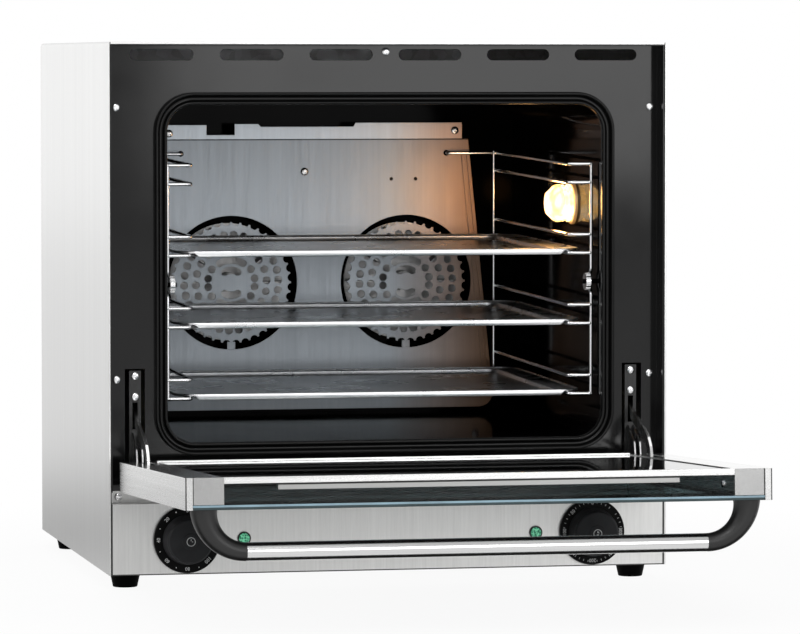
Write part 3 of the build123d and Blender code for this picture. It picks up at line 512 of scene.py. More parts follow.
def lofted(name, rings, closed=True):
    """A skin over rings of equal count, joined end to start or capped at both ends."""
    points = [p for ring in rings for p in ring]
    count = len(rings[0])
    faces = []
    for r in range(len(rings) if closed else len(rings) - 1):
        a, b = r * count, ((r + 1) % len(rings)) * count
        for i in range(count):
            j = (i + 1) % count
            faces.append((a + i, a + j, b + j, b + i))
    if not closed:
        faces.append(tuple(range(count)))
        faces.append(tuple(range((len(rings) - 1) * count, len(rings) * count)))
    return mesh_of(name, points, faces)


mouth_half_x, mouth_half_z, mouth_corner = 232.5, 176, 28
mouth_middle_z = 311.5
plate_y = 26
gasket_section = (
    (0.2, 0), (0.2, 5.6), (0.6, 6.9), (1.4, 7.5), (2.4, 7.5), (3.2, 6.9), (3.7, 5.4), (4.2, 3.4),
    (5.2, 2.6), (7.0, 2.4), (8.4, 3.0), (9.2, 4.6), (9.5, 7.2), (10.0, 8.8), (10.8, 9.4),
    (11.8, 9.4), (12.6, 8.8), (13.0, 7.4), (13.0, 0),
)
rings = []
for offset, depth in gasket_section:
    ring = rounded_ring(mouth_half_x + offset, mouth_half_z + offset, mouth_corner + offset, 12)
    rings.append([place(u, plate_y - depth, mouth_middle_z + v) for u, v in ring])
gasket_rubber = moulded("gasket_silicone", (0.003, 0.003, 0.003), (0.17, 0.26), 500, 0.00002, 0.3)
fill(opened(gasket_rubber)[0], {"Specular IOR Level": 0.22})
piece("gasket", lofted("gasket", rings), "oven", ["door_gasket"], gasket_rubber, 60)

# Control panel. A brushed stainless strip is folded back along its top and held to the front
# plate by two screws; its short vertical brushing is coarser than the casing's.
panel_finish = brushed_steel("panel_brushed", (0.68, 0.68, 0.67), (3600, 3600, 60), rough=(0.33, 0.46))
shader, position = opened(panel_finish)
lower_edge = band(position, "Z", 0, casing_low.z + 0.0012)
folded_edge = joined("MAXIMUM", lower_edge, both_sides(position, 0.2940, 0.2960))
shaded(shader, folded_edge, 0.12)
finish(panel_finish, "control_panel")

# Insulation, motors, heaters and the terminal block. They stand between chamber and casing: a
# mineral-wool blanket, dark laminated motors, and tubular heaters darkened by use.
wool, shader, position = plain_material("mineral_wool")
tuft = noise(position, (220, 220, 60), 6.0, 0.7)
fill(shader, {
    "Base Color": toned(tuft, (0.50, 0.44, 0.28), (0.74, 0.69, 0.52)),
    "Roughness": 0.95,
    "Normal": relief(tuft, 0.0015, 0.8),
})
finish(wool, "insulation_blanket")
motor_paint = moulded("motor_paint", (0.07, 0.07, 0.075), (0.45, 0.6), 300)
finish(motor_paint, "fan_motor_right", "fan_motor_left")
heater_sheath, shader, position = plain_material("heater_sheath")
scale_tone = noise(position, 80, 5.0, 0.65)
fill(shader, {
    "Base Color": toned(scale_tone, (0.06, 0.05, 0.045), (0.22, 0.19, 0.16)),
    "Roughness": between(scale_tone, 0.35, 0.7),
    "Normal": relief(scale_tone, 0.0001, 0.5),
    "Metallic": 0.8,
})
finish(heater_sheath, "heater_ring_right", "heater_ring_left")
switch_plastic = moulded("switch_plastic", (0.66, 0.64, 0.58), (0.38, 0.5), 400)
finish(switch_plastic, "terminal_block", "timer_unit", "thermostat_unit")

# Fans, baffle and thermostat bulb. The baffle is smooth matt stainless sheet with a folded top
# strip; each fan wheel is riveted from aluminised steel and turns behind a round opening.
baffle_finish = brushed_steel("baffle_sheet", (0.262, 0.285, 0.308), (1400, 1400, 12), rough=(0.34, 0.46))
shader, position = opened(baffle_finish)
# Towards the lamp side the sheet is painted warm orange-brown and darker: painted glow of the oven lamp and
# painted shade.
across = add(position.id_data, "ShaderNodeSeparateXYZ", {0: position})
shaded(shader, spread(across.outputs["X"], 0.08, 0.20, 0, 1), (0.98, 0.52, 0.28))
fold_low, fold_high = place(0, 0, 444.4).z, place(0, 0, 445.7).z
# The top strip is painted lighter, a painted highlight, and the fold line under it is painted dark, painted
# shade.
shaded(shader, band(position, "Z", fold_high, 1), 1.8)
shaded(shader, band(position, "Z", fold_low, fold_high), 0.25)
fan_finish = brushed_steel("fan_sheet", (0.46, 0.46, 0.46), (200, 200, 200), rough=(0.35, 0.5))
bright_steel = brushed_steel(
    "bright_steel", (0.70, 0.70, 0.70), (300, 300, 300), rough=(0.16, 0.28), edge=0.0003)
finish(baffle_finish, "fan_baffle")
finish(fan_finish, "fan_wheel_right", "fan_wheel_left")
finish(bright_steel, "baffle_spacers")
bulb_sheath = enamel("bulb_sheath", (0.02, 0.016, 0.014), (0.5, 0.7), 0.0003, 0.2)
finish(bulb_sheath, "thermostat_bulb")

# Fan guards. Behind each opening sits a punched disc: rings of round holes, a rim of open
# notches and four curved slots round the hub, held by three tongues under the baffle.
guard_x, guard_y, guard_z, guard_sheet = 100, 401.3, 285, 0.0011
guard_rings = ((0.0403, 20, 3.5), (0.0536, 30, 3.0))
guard_tree, given = new_tree("punched_disc", [
    ("Geometry", "Geometry"), ("Hole Radius", "Float"), ("Thickness", "Float"), ("Finish", "Material"),
    ("Ring 1 Radius", "Float"), ("Ring 1 Holes", "Int"), ("Ring 1 Turn", "Float"),
    ("Ring 2 Radius", "Float"), ("Ring 2 Holes", "Int"), ("Ring 2 Turn", "Float"),
])
all_curves = add(guard_tree, "GeometryNodeJoinGeometry", {0: given["Geometry"]})
values = {"Hole Radius": 0.0044, "Thickness": guard_sheet, "Finish": baffle_finish}
for number, (radius, holes, turn) in enumerate(guard_rings, 1):
    label = f"Ring {number} "
    values.update({label + "Radius": radius, label + "Holes": holes, label + "Turn": radians(turn)})
    ring = grow(guard_tree, "MeshCircle", {
        "Vertices": given[label + "Holes"], "Radius": given[label + "Radius"],
    })
    about = along_z(given[label + "Turn"])
    turned = grow(guard_tree, "Transform", {"Geometry": ring, "Rotation": about})
    hole = grow(guard_tree, "CurvePrimitiveCircle", {
        "Resolution": 14, "Radius": given["Hole Radius"],
    })
    punched = grow(guard_tree, "InstanceOnPoints", {"Points": turned, "Instance": hole})
    fill(all_curves, {0: punched})
real = grow(guard_tree, "RealizeInstances", {0: all_curves.outputs[0]})
filled = grow(guard_tree, "FillCurve", {"Curve": real})
thick = add(guard_tree, "GeometryNodeExtrudeMesh", {
    "Mesh": filled, "Individual": False, "Offset Scale": given["Thickness"],
})
sheet_back = grow(guard_tree, "FlipFaces", {"Mesh": filled})
front_and_back = add(guard_tree, "GeometryNodeJoinGeometry", {0: thick.outputs["Mesh"]})
fill(front_and_back, {0: sheet_back})
merged = grow(guard_tree, "MergeByDistance", {
    "Geometry": front_and_back.outputs[0], "Distance": 0.00001,
})
ended(guard_tree, given, merged)


def curve_of(name, runs, closed):
    """A curve with a run of straight parts through each list of points, in metres."""
    data = bpy.data.curves.new(name, "CURVE")
    data.dimensions = "3D"
    for points in runs:
        run = data.splines.new("POLY")
        run.points.add(len(points) - 1)
        for point, spot in zip(run.points, points):
            point.co = (*spot, 1)
        run.use_cyclic_u = closed
    return data


def polar(radius, angle, centre=(0, 0)):
    """A point at a distance and an angle from a centre."""
    return centre[0] + radius * cos(angle), centre[1] + radius * sin(angle)


def notched_rim(radius, count, notch, turn):
    """The disc's outline with an open bite at each notch."""
    outline = []
    half_bite = notch / radius
    gap = tau / count - 2 * half_bite
    for number in range(count):
        middle = radians(turn) + number * tau / count
        for step in range(7):
            bend = pi * step / 6
            inward = radius - 0.85 * notch * sin(bend)
            outline.append(polar(inward, middle - half_bite * cos(bend)))
        for step in (1, 2):
            outline.append(polar(radius, middle + half_bite + gap * step / 3))
    return outline


def curved_slot(radius, reach, width, middle):
    """The closed outline of a slot bent round the hub."""
    loop = []
    for way, half_turn in ((1, 0.0), (-1, pi)):
        for step in range(13):
            angle = radians(middle + way * (2 * reach * step / 12 - reach))
            loop.append(polar(radius + way * width / 2, angle))
        for step in range(1, 6):
            loop.append(polar(width / 2, angle + half_turn + pi * step / 6, polar(radius, angle)))
    return loop


guard_loops = [notched_rim(68, 40, 4.4, 4.5)]
for middle in (90, 270):
    guard_loops += [curved_slot(14, 32, 8, middle), curved_slot(25.4, 32, 8, middle)]
for half in (0, 180):
    for angle in (-34, -10, 10, 34):
        centre = polar(26.8, radians(half + angle))
        guard_loops.append([polar(4.4, tau * step / 14, centre) for step in range(14)])
guard_loops = [[(x / 1000, y / 1000, 0) for x, y in loop] for loop in guard_loops]


def solid(name, shape):
    """The mesh of a finished bmesh, with its faces turned outwards."""
    mesh = bpy.data.meshes.new(name)
    bmesh.ops.recalc_face_normals(shape, faces=shape.faces)
    shape.to_mesh(mesh)
    shape.free()
    return mesh


guards = bmesh.new()
for x in (-guard_x, guard_x):
    disc = grown("guard", guard_tree, curve_of("guard_outline", guard_loops, True), values)
    facing = Matrix.Rotation(radians(90), 4, "X")
    disc.transform(Matrix.Translation(place(x, guard_y, guard_z)) @ facing)
    guards.from_mesh(disc)
    for number in range(3):
        middle = radians(30 + number * 120)
        tongue = bmesh.ops.create_cube(guards, size=1.0)["verts"]
        out = Matrix.Rotation(-middle, 4, "Y") @ Matrix.Translation((0.0745, 0, 0))
        size = Matrix.Diagonal((0.016, guard_sheet, 0.009, 1))
        centre = Matrix.Translation(place(x, guard_y + 0.55, guard_z))
        bmesh.ops.transform(guards, matrix=centre @ out @ size, verts=tongue)
guard_mesh = solid("fan_guard_discs", guards)
piece("fan_guard_discs", guard_mesh, "oven", ["fan_guards"], baffle_finish, 40)

# Side racks. Each is welded up from chromed wire: an upright at the front and one at the back,
# four pairs of rails with a short bend at the front, and a peg that hooks into the baffle.
chrome, shader, position = plain_material("chrome_wire")
smear = noise(position, 40)
fill(shader, {
    "Base Color": toned(smear, (0.80, 0.80, 0.81), (0.90, 0.90, 0.91)),
    "Roughness": between(smear, 0.12, 0.24),
    "Normal": relief(noise(position, 500), 0.00001, 0.2),
    "Metallic": 1.0,
})
wire_tree, given = new_tree("bent_wire", [
    ("Geometry", "Geometry"), ("Wire Radius", "Float"), ("Bend Radius", "Float"),
    ("Pair", "Int"), ("Gap", "Float"), ("Levels", "Int"), ("Pitch", "Float"), ("Finish", "Material"),
])
rounded = grow(wire_tree, "FilletCurve", {
    "Count": 5, "Curve": given["Geometry"], "Radius": given["Bend Radius"],
}, mode="POLY")
shape_now = rounded
for count, spacing in (("Pair", "Gap"), ("Levels", "Pitch")):
    down = joined("MULTIPLY", given[spacing], -1)
    offset = along_z(down)
    line = grow(wire_tree, "MeshLine", {"Count": given[count], "Offset": offset})
    copies = grow(wire_tree, "InstanceOnPoints", {"Points": line, "Instance": shape_now})
    shape_now = copies
real = grow(wire_tree, "RealizeInstances", {0: shape_now})
section = grow(wire_tree, "CurvePrimitiveCircle", {
    "Resolution": 14, "Radius": given["Wire Radius"],
})
tube = grow(wire_tree, "CurveToMesh", {"Curve": real, "Profile Curve": section, "Fill Caps": True})
ended(wire_tree, given, tube)

rail_top, rail_gap, rail_pitch, rail_rise = 424.1, 19.7, 75, 5.5
post_front_y, post_rear_y, rail_x = 50, 391, 202.7
nut_z, peg_z = 299, 429.6
rack_low = rail_top - 3 * rail_pitch - rail_gap
for side, label, peg_end in ((1, "right", 146.4), (-1, "left", 157)):
    runs = []
    rail = [
        (228.5, post_front_y, rail_top), (rail_x, post_front_y, rail_top),
        (rail_x, post_rear_y, rail_top + rail_rise),
    ]
    runs.append((rail, 2.0, 5.0, 2, 4))
    front_post = [
        (228, post_front_y, rack_low), (228, post_front_y, nut_z - 13), (228, post_front_y + 6, nut_z - 7),
        (228, post_front_y + 6, nut_z + 7), (228, post_front_y, nut_z + 13), (228, post_front_y, rail_top),
    ]
    runs.append((front_post, 1.8, 2.5, 1, 1))
    rear_post = [(199.4, post_rear_y, rack_low + rail_rise), (199.4, post_rear_y, peg_z + 2)]
    runs.append((rear_post, 1.8, 0.5, 1, 1))
    peg = [(199.4, post_rear_y, peg_z), (peg_end, post_rear_y, peg_z), (peg_end, 406, peg_z)]
    runs.append((peg, 1.8, 2.5, 1, 1))
    rack = bmesh.new()
    for points, radius, bend, pair, levels in runs:
        path = curve_of("wire", [[place(side * x, y, z) for x, y, z in points]], False)
        rack.from_mesh(grown("wire", wire_tree, path, {
            "Wire Radius": radius / 1000, "Bend Radius": bend / 1000, "Pair": pair, "Gap": rail_gap / 1000,
            "Levels": levels, "Pitch": rail_pitch / 1000, "Finish": chrome,
        }))
    weld_spots = []
    for level in range(4):
        for drop in (0, rail_gap):
            z = rail_top - level * rail_pitch - drop
            weld_spots.append((226.4, post_front_y, z))
            weld_spots.append((200.9, post_rear_y - 0.5, z + rail_rise))
    for x, y, z in weld_spots:
        bead = bmesh.ops.create_icosphere(rack, subdivisions=2, radius=0.0023)["verts"]
        bmesh.ops.transform(rack, matrix=Matrix.Translation(place(side * x, y, z)), verts=bead)
    rack_mesh = solid("wire_rack_" + label, rack)
    piece("wire_rack_" + label, rack_mesh, "oven", ["side_rack_" + label], chrome, 50)

# Thumb nuts. Two knurled steel nuts on studs in the chamber walls hold the racks by their front
# uprights, and come off by hand for cleaning.
finish(chrome, "rack_thumb_nuts")

# Trays. Each is pressed from one aluminium sheet: a shallow well, a flat rim that rides on the
# rails, and a rolled edge that stiffens it; at the front and back the edge also turns down.
tray_finish, shader, position = plain_material("tray_sheet")
rub = noise(position, (7, 600, 600), 4.0, 0.6)
dull = noise(position, 18)
fill(shader, {
    "Base Color": toned(dull, (0.78, 0.79, 0.80), (0.90, 0.90, 0.91)),
    "Roughness": between(dull, 0.24, 0.36),
    "Normal": relief(rub, 0.00001, 0.4),
    "Metallic": 1.0,
})
hem_drop, hem_rows = 3.6, (8, 9, 10)
tray_half_width, tray_half_length, tray_corner, tray_front = 219, 157.5, 24, 49
tray_section = [
    (27.5, 12.5, -4.3), (25.8, 10.8, -4.2), (25.1, 10.1, -3.8), (24.8, 9.8, -3.0), (24.1, 9.1, -0.5),
    (23.7, 8.7, -0.1), (23.0, 8.0, 0.0), (3.0, 3.0, 0.0), (1.1, 1.1, 0.0), (0.3, 0.3, 0.3), (0.0, 0.0, 0.9),
    (0.0, 0.0, 2.1), (0.3, 0.3, 2.5), (1.0, 1.0, 2.7), (1.7, 1.7, 2.5), (2.0, 2.0, 2.0), (2.2, 2.2, 1.5),
    (3.0, 3.0, 1.2), (22.8, 7.8, 1.2), (24.6, 9.6, 1.1), (25.3, 10.3, 0.6), (25.9, 10.9, -2.0),
    (26.5, 11.5, -2.8), (28.0, 13.0, -3.1),
]
rail_slope = atan2(rail_rise, post_rear_y - post_front_y)
for level, label in ((1, "upper"), (2, "middle"), (3, "lower")):
    z = rail_top - level * rail_pitch - rail_gap
    rings = []
    for row, (side_inset, end_inset, height) in enumerate(tray_section):
        half_length = tray_half_length - end_inset
        corner = tray_corner - side_inset * 0.42
        ring = rounded_ring(tray_half_width - side_inset, half_length, corner, 9)
        points = []
        for u, v in ring:
            on_end = row in hem_rows and abs(abs(v) - half_length) < 0.001
            y = tray_front - post_front_y + tray_half_length + v
            up = 2.1 + height - hem_drop * on_end
            points.append(place(
                u,
                post_front_y + y * cos(rail_slope) - up * sin(rail_slope),
                z + y * sin(rail_slope) + up * cos(rail_slope),
            ))
        rings.append(points)
    mesh = lofted("baking_tray_" + label, rings, closed=False)
    piece("baking_tray_" + label, mesh, "tray_" + label, ["tray_" + label], tray_finish, 40)

# Lamp. A screw-in faceted glass, pressed with twelve flats and a ribbed collar, covers a small
# bulb in a metal holder on the right-hand wall. The bulb is lit and colours the wall round it.
lamp_x, lamp_y, lamp_z = 229.1, 150, 379.5
lens_glass, shader, position = plain_material("lens_glass")
ripple = noise(position, 160, 2.0)
squeezed = {0: position, 1: (0.5, 1.0, 0.22)}
upright = add(position.id_data, "ShaderNodeVectorMath", squeezed, operation="MULTIPLY")
pressed = add(position.id_data, "ShaderNodeTexVoronoi", {"Scale": 170, "Vector": upright.outputs[0]})
facets = pressed.outputs["Distance"]
# The lens glass has its own emission, white to orange across the pressed facets: painted light standing in
# for the bulb's light through the glass.
fill(shader, {
    "Base Color": toned(ripple, (1.0, 0.78, 0.35), (1.0, 0.95, 0.70)),
    "Roughness": between(ripple, 0.05, 0.14),
    "Normal": relief(ripple, 0.0006, 0.5),
    "Transmission Weight": 0.35,
    "IOR": 1.47,
    "Emission Color": toned(facets, (1.0, 0.97, 0.84), (0.95, 0.50, 0.10), 0.15),
    "Emission Strength": 1.3,
})


def lathe(name, profile, sides, centre, axis, turn=0.0):
    """A turned shape from (radius, along) pairs in millimetres about an axis through a point."""
    along = Vector(axis).normalized()
    across = along.orthogonal().normalized()
    other = along.cross(across)
    rings = []
    for radius, reach in profile:
        ring = []
        for step in range(sides):
            a = turn + tau * step / sides
            out = (across * cos(a) + other * sin(a)) * (max(radius, 0.001) / 1000)
            ring.append(centre + along * (reach / 1000) + out)
        rings.append(ring)
    return lofted(name, rings, closed=False)


lens_profile = (
    (20.2, 0.2), (20.4, 4), (18.6, 4.6), (18.6, 6.4), (20.0, 7.0), (20.0, 9.2), (18.8, 9.8),
    (20.4, 10.8), (20.4, 15.0), (18.4, 19.4), (14.6, 23.2), (12.4, 25.6), (11.6, 26.0),
)
lens = lathe("lamp_lens", lens_profile, 12, place(lamp_x, lamp_y, lamp_z), (-1, 0, 0), radians(15))
piece("lamp_lens", lens, "oven", ["lamp_glass"], lens_glass, 12)
bulb_finish, shader, position = plain_material("lit_bulb")
glow = noise(position, 90, 1.0)
fill(shader, {
    "Base Color": toned(glow, (1.0, 0.70, 0.30), (1.0, 0.85, 0.55)),
    "Emission Color": toned(glow, (1.0, 0.66, 0.26), (1.0, 0.80, 0.44)),
    "Emission Strength": 3.0,
})
finish(bulb_finish, "lamp_bulb")
holder_steel = brushed_steel("holder_steel", (0.78, 0.62, 0.42), (300, 300, 300), rough=(0.42, 0.56))
# The metal holder is given a faint orange emission: painted glow of the lit bulb on it.
fill(opened(holder_steel)[0], {"Emission Color": (1.0, 0.48, 0.13, 1), "Emission Strength": 0.22})
finish(holder_steel, "lamp_housing")
warm_data = bpy.data.lights.new("oven_lamp", "POINT")
warm_data.energy = 0.26
warm_data.color = (1.0, 0.50, 0.16)
warm_data.shadow_soft_size = 0.016
warm = shown("oven_lamp", warm_data)
warm.location = place(lamp_x - 47, lamp_y, lamp_z)
warm.visible_camera = False

# Control knobs. Each is moulded in black plastic in one piece: a thin skirt that carries the
# printed scale, and a tapered grip with a small raised button on its end.
knob_plastic = moulded("knob_plastic", (0.0022, 0.0022, 0.0023), (0.30, 0.38), 900, 0.00002)
shader, position = opened(knob_plastic)
fill(shader, {"Specular IOR Level": 0.07})
# The grip, from 6 mm in front of the panel outwards, is painted sixteen times lighter than the skirt:
# painted sheen.
shaded(shader, band(position, "Y", casing_low.y - 0.040, casing_low.y - 0.0062), 16.0)
finish(knob_plastic, "timer_knob", "thermostat_knob")
finish(bright_steel, "timer_shaft", "thermostat_shaft")
print_white = moulded("print_white", (0.72, 0.72, 0.71), (0.45, 0.6), 900, 0.00001, 0.2, 0.0)
mark_tree, given = new_tree("printed_ticks", [
    ("Geometry", "Geometry"), ("Count", "Int"), ("Ring Radius", "Float"), ("Skip", "Int"),
    ("Length", "Float"), ("Width", "Float"), ("Thickness", "Float"), ("Finish", "Material"),
])
ring = grow(mark_tree, "MeshCircle", {"Vertices": given["Count"], "Radius": given["Ring Radius"]})
tick_size = add(mark_tree, "ShaderNodeCombineXYZ", {
    "X": given["Length"], "Y": given["Width"], "Z": given["Thickness"],
})
tick = grow(mark_tree, "MeshCube", {"Size": tick_size.outputs[0]})
index = grow(mark_tree, "InputIndex")
spot = grow(mark_tree, "InputPosition")
spot_parts = add(mark_tree, "ShaderNodeSeparateXYZ", {0: spot})
outward = along_z(joined("ARCTAN2", spot_parts.outputs["Y"], spot_parts.outputs["X"]))
on_ring = grow(mark_tree, "InstanceOnPoints", {
    "Points": ring, "Instance": tick, "Rotation": outward,
    "Selection": joined("MODULO", index, given["Skip"]),
})
ended(mark_tree, given, on_ring)


def number_mesh(text, height):
    """A printed number as a thin closed mesh, flat in its own XY plane."""
    letters = bpy.data.curves.new("number", "FONT")
    letters.body = text
    letters.size = height
    letters.align_x = "CENTER"
    letters.align_y = "CENTER"
    letters.resolution_u = 2
    letters.extrude = 0.00004
    letters.offset = 0.00008
    holder = shown("number", letters)
    bpy.context.view_layer.update()
    flat = bpy.data.meshes.new_from_object(holder.evaluated_get(bpy.context.evaluated_depsgraph_get()))
    bpy.data.objects.remove(holder)
    return flat


knob_x, knob_z, skirt_face, grip_face = 216.5, 36.6, -5.23, -28.52
number_ring, number_height, tick_ring = 30.2, 0.0052, 0.0312
to_front = Matrix.Rotation(radians(90), 4, "X")
scales = (
    ("timer", -1, [str(20 * step) for step in range(7)], 16, 2, 0.0011, 0.0011),
    ("thermostat", 1, [str(50 * step) for step in range(7)], 40, 5, 0.0020, 0.0005),
)
for label, side, numbers, count, skip, length, width in scales:
    print_shape = bmesh.new()
    to_skirt = Matrix.Translation(place(side * knob_x, skirt_face, knob_z))
    for step, text in enumerate(numbers):
        turn = radians(45 * step)
        number = number_mesh(text, number_height)
        upright = Matrix.Translation((0, number_ring / 1000, 0))
        number.transform(to_skirt @ Matrix.Rotation(-turn, 4, "Y") @ to_front @ upright)
        print_shape.from_mesh(number)
    anchor = bpy.data.meshes.new("scale_anchor")
    ticks = grown("ticks", mark_tree, anchor, {
        "Count": count, "Ring Radius": tick_ring, "Skip": skip, "Length": length, "Width": width,
        "Thickness": 0.00008, "Finish": print_white,
    })
    ticks.transform(to_skirt @ Matrix.Rotation(radians(-90), 4, "Y") @ to_front)
    print_shape.from_mesh(ticks)
    to_button = Matrix.Translation(place(side * knob_x, grip_face, knob_z)) @ to_front
    if label == "timer":
        bars = [(0.0, 1.3, 0.75, 2.6), (0.9, 0.0, 2.2, 0.75)]
    else:
        bars = [(0.0, 0.8, 0.9, 3.6), (0.0, -1.4, 1.9, 1.9), (1.1, 1.6, 1.1, 0.5), (1.1, 0.5, 1.1, 0.5)]
    for x, y, wide, high in bars:
        bar = bmesh.ops.create_cube(print_shape, size=1.0)["verts"]
        size = Matrix.Diagonal((wide / 1000, high / 1000, 0.00008, 1))
        middle = Matrix.Translation((x / 1000, y / 1000, 0))
        bmesh.ops.transform(print_shape, matrix=to_button @ middle @ size, verts=bar)
    circle = []
    for radius, height in ((4.0, -0.04), (4.7, -0.04), (4.7, 0.04), (4.0, 0.04)):
        spots = [polar(radius, tau * i / 32) for i in range(32)]
        circle.append([to_button @ Vector((x / 1000, y / 1000, height / 1000)) for x, y in spots])
    print_shape.from_mesh(lofted("button_ring", circle))
    print_mesh = solid(label + "_print", print_shape)
    piece(label + "_print", print_mesh, label + "_knob", (), print_white, 40)

# Pilot lamps. A black moulded bezel snaps into the panel round a green pressed lens.
bezel_plastic = moulded("bezel_plastic", (0.016, 0.016, 0.017), (0.25, 0.35))
finish(bezel_plastic, "pilot_bezels")
green_lens, shader, position = plain_material("green_lens")
pressed = add(position.id_data, "ShaderNodeTexVoronoi", {"Scale": 420, "Vector": position})
facets = pressed.outputs["Distance"]
fill(shader, {
    "Base Color": toned(facets, (0.01, 0.26, 0.12), (0.22, 0.85, 0.52)),
    "Roughness": 0.12,
    "Normal": relief(facets, 0.0008, 0.6),
    "Emission Color": toned(facets, (0.0, 0.16, 0.07), (0.20, 0.75, 0.44)),
    "Emission Strength": 0.35,
})
finish(green_lens, "pilot_lenses")

# Door. Two folded stainless stiles and two channels frame an inner pane, and the larger outer
# pane covers them; both panes are toughened float glass, blue-green where one sees into the edge.
door_angle = radians(87.5)
door_slope = pi / 2 - door_angle


def door_place(x, y, z):
    """A point measured on the closed door, carried to where the open door has it."""
    y, z = y + 10, z - 93
    return place(x, y * cos(door_angle) - z * sin(door_angle) - 10,
                 y * sin(door_angle) + z * cos(door_angle) + 93)


stile_finish = brushed_steel(
    "stile_brushed", (0.92, 0.92, 0.915), (1700, 10, 1700), rough=(0.22, 0.34), tilt=door_slope)
shader, position = opened(stile_finish)
# Painted shade on the stiles: the cap's end face is painted darker, its side flanges are painted darker
# against the lamp's reflection, and dark lines are painted in the creases.
cap_y = door_place(0, 0, 519.2).y
on_cap = band(position, "Y", cap_y - 0.01, cap_y)
plate = band(position, "X", -0.2811, 0.2811)
shaded(shader, joined("MULTIPLY", on_cap, plate), 0.42)
for low, high, tint in ((0.2818, 0.2892, 0.66), (0.2808, 0.2819, 0.10), (0.2877, 0.2890, 0.10)):
    strip = both_sides(position, low, high)
    shaded(shader, joined("MULTIPLY", on_cap, strip), tint)
inner_face = band(position.node.outputs["Normal"], "Z", 0.6, 1.1)
changed(shader, "Roughness", inner_face, 0.15)
along_door = (9, 1700, 1700)
channel_finish = brushed_steel("channel_brushed", (0.74, 0.74, 0.735), along_door, rough=(0.20, 0.30))
rail_finish = brushed_steel("rail_brushed", (0.74, 0.74, 0.735), along_door, rough=(0.20, 0.30))
shader, position = opened(rail_finish)
# The rail's lower part, inside the door's hollow, is painted nearly black: painted shade.
shaded(shader, band(position, "Z", 0, door_place(0, 10.5, 105).z), 0.08)
bar_finish = brushed_steel("bar_brushed", (0.38, 0.38, 0.375), along_door, rough=(0.30, 0.42))
shader, position = opened(bar_finish)
bar_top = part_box("door_glass_bar")[1].z
# A thin band along the bar's top is painted dark: painted shadow under the channel.
shaded(shader, band(position, "Z", bar_top - 0.0021, bar_top + 0.001), 0.10)
finish(stile_finish, "door_stile_right", "door_stile_left")
finish(channel_finish, "door_top_channel")
finish(rail_finish, "door_bottom_rail")
finish(bar_finish, "door_glass_bar")


def pane_glass(name, tint, dusty):
    """Float glass with a tint and a little dust."""
    material, shader, position = plain_material(name)
    dust = noise(position, 9, 4.0, 0.6)
    fill(shader, {
        "Base Color": varied(dust, tint, 0.96, 1.0),
        "Roughness": between(dust, 0.0, dusty),
        "Transmission Weight": 1.0,
        "IOR": 1.50,
    })
    return material


outer_glass = pane_glass("outer_pane_glass", (0.26, 0.42, 0.45), 0.006)
inner_glass = pane_glass("inner_pane_glass", (0.30, 0.32, 0.33), 0.006)
shader, position = opened(outer_glass)
# A black border is printed along the pane's ends and sides; it is also painted shade, so the handle tube
# mirrors it dark and the door's hollow looks dark.
print_and_shade_end = band(position, "Y", door_place(0, 0, 525).y, door_place(0, 0, 455).y)
print_and_shade_foot = band(position, "Y", door_place(0, 0, 145).y, 0)
print_and_shade_border = joined("MAXIMUM", print_and_shade_end, print_and_shade_foot)
print_and_shade_border = joined("MAXIMUM", print_and_shade_border, both_sides(position, 0.243, 0.29))
shaded(shader, print_and_shade_border, (0.004, 0.006, 0.007))
finish(outer_glass, "door_outer_glass")
finish(inner_glass, "door_inner_glass")
finish(bright_steel, "door_screws")
edge_points = []
for reach, height in ((519.83, -14.7), (520.0, -14.2), (520.0, -10.9), (519.83, -10.4)):
    edge_points.append([door_place(x, height, reach) for x in (-286, 286)])
edge_faces = [(0, 1, 3, 2), (2, 3, 5, 4), (4, 5, 7, 6), (0, 2, 4, 6), (1, 7, 5, 3), (0, 6, 7, 1)]
edge_mesh = mesh_of("ground_pane_edge", [p for pair in edge_points for p in pair], edge_faces)
edge_finish = moulded("ground_glass_edge", (0.24, 0.37, 0.44), (0.30, 0.45), 1500, 0.00002, 0.4, 0.0)
shader, position = opened(edge_finish)
# The lower half of the ground edge is painted darker: painted shade.
painted_shade_half = band(position, "Z", 0, door_place(0, -12.4, 520).z)
shaded(shader, painted_shade_half, (0.10, 0.13, 0.12))
piece("ground_pane_edge", edge_mesh, "door", (), edge_finish, 20)

# Handle. A polished stainless tube runs between two moulded elbows that swell towards the glass,
# where a screw from inside each stile holds them.
tube_finish = brushed_steel(
    "tube_polished", (0.66, 0.66, 0.66), (6, 300, 300), rough=(0.15, 0.19), depth=0.000001)
handle_plastic = moulded("handle_plastic", (0.009, 0.009, 0.009), (0.34, 0.44), 1100, 0.00003)
finish(tube_finish, "handle_tube")
finish(handle_plastic, "handle_bend_right", "handle_bend_left")

# Hinges. Each has a slotted case behind the front plate with two cheeks that carry the pin, a
# leaf inside the stile, a spring, and a bent flat stay that checks the open door.
hinge_steel = brushed_steel(
    "hinge_steel", (0.70, 0.70, 0.70), (300, 300, 300), rough=(0.14, 0.26), edge=0.0003)
shader, position = opened(hinge_steel)
case_depth = band(position, "Y", place(0, 20, 0).y, 1)
shaded(shader, case_depth, 0.022)
changed(shader, "Metallic", case_depth, 0.0)
finish(hinge_steel, "hinge_bracket_right", "hinge_bracket_left", "hinge_leaf_right", "hinge_leaf_left")
finish(bright_steel, "hinge_pins", "hinge_springs", "stay_pins", "stay_arm_right", "stay_arm_left")

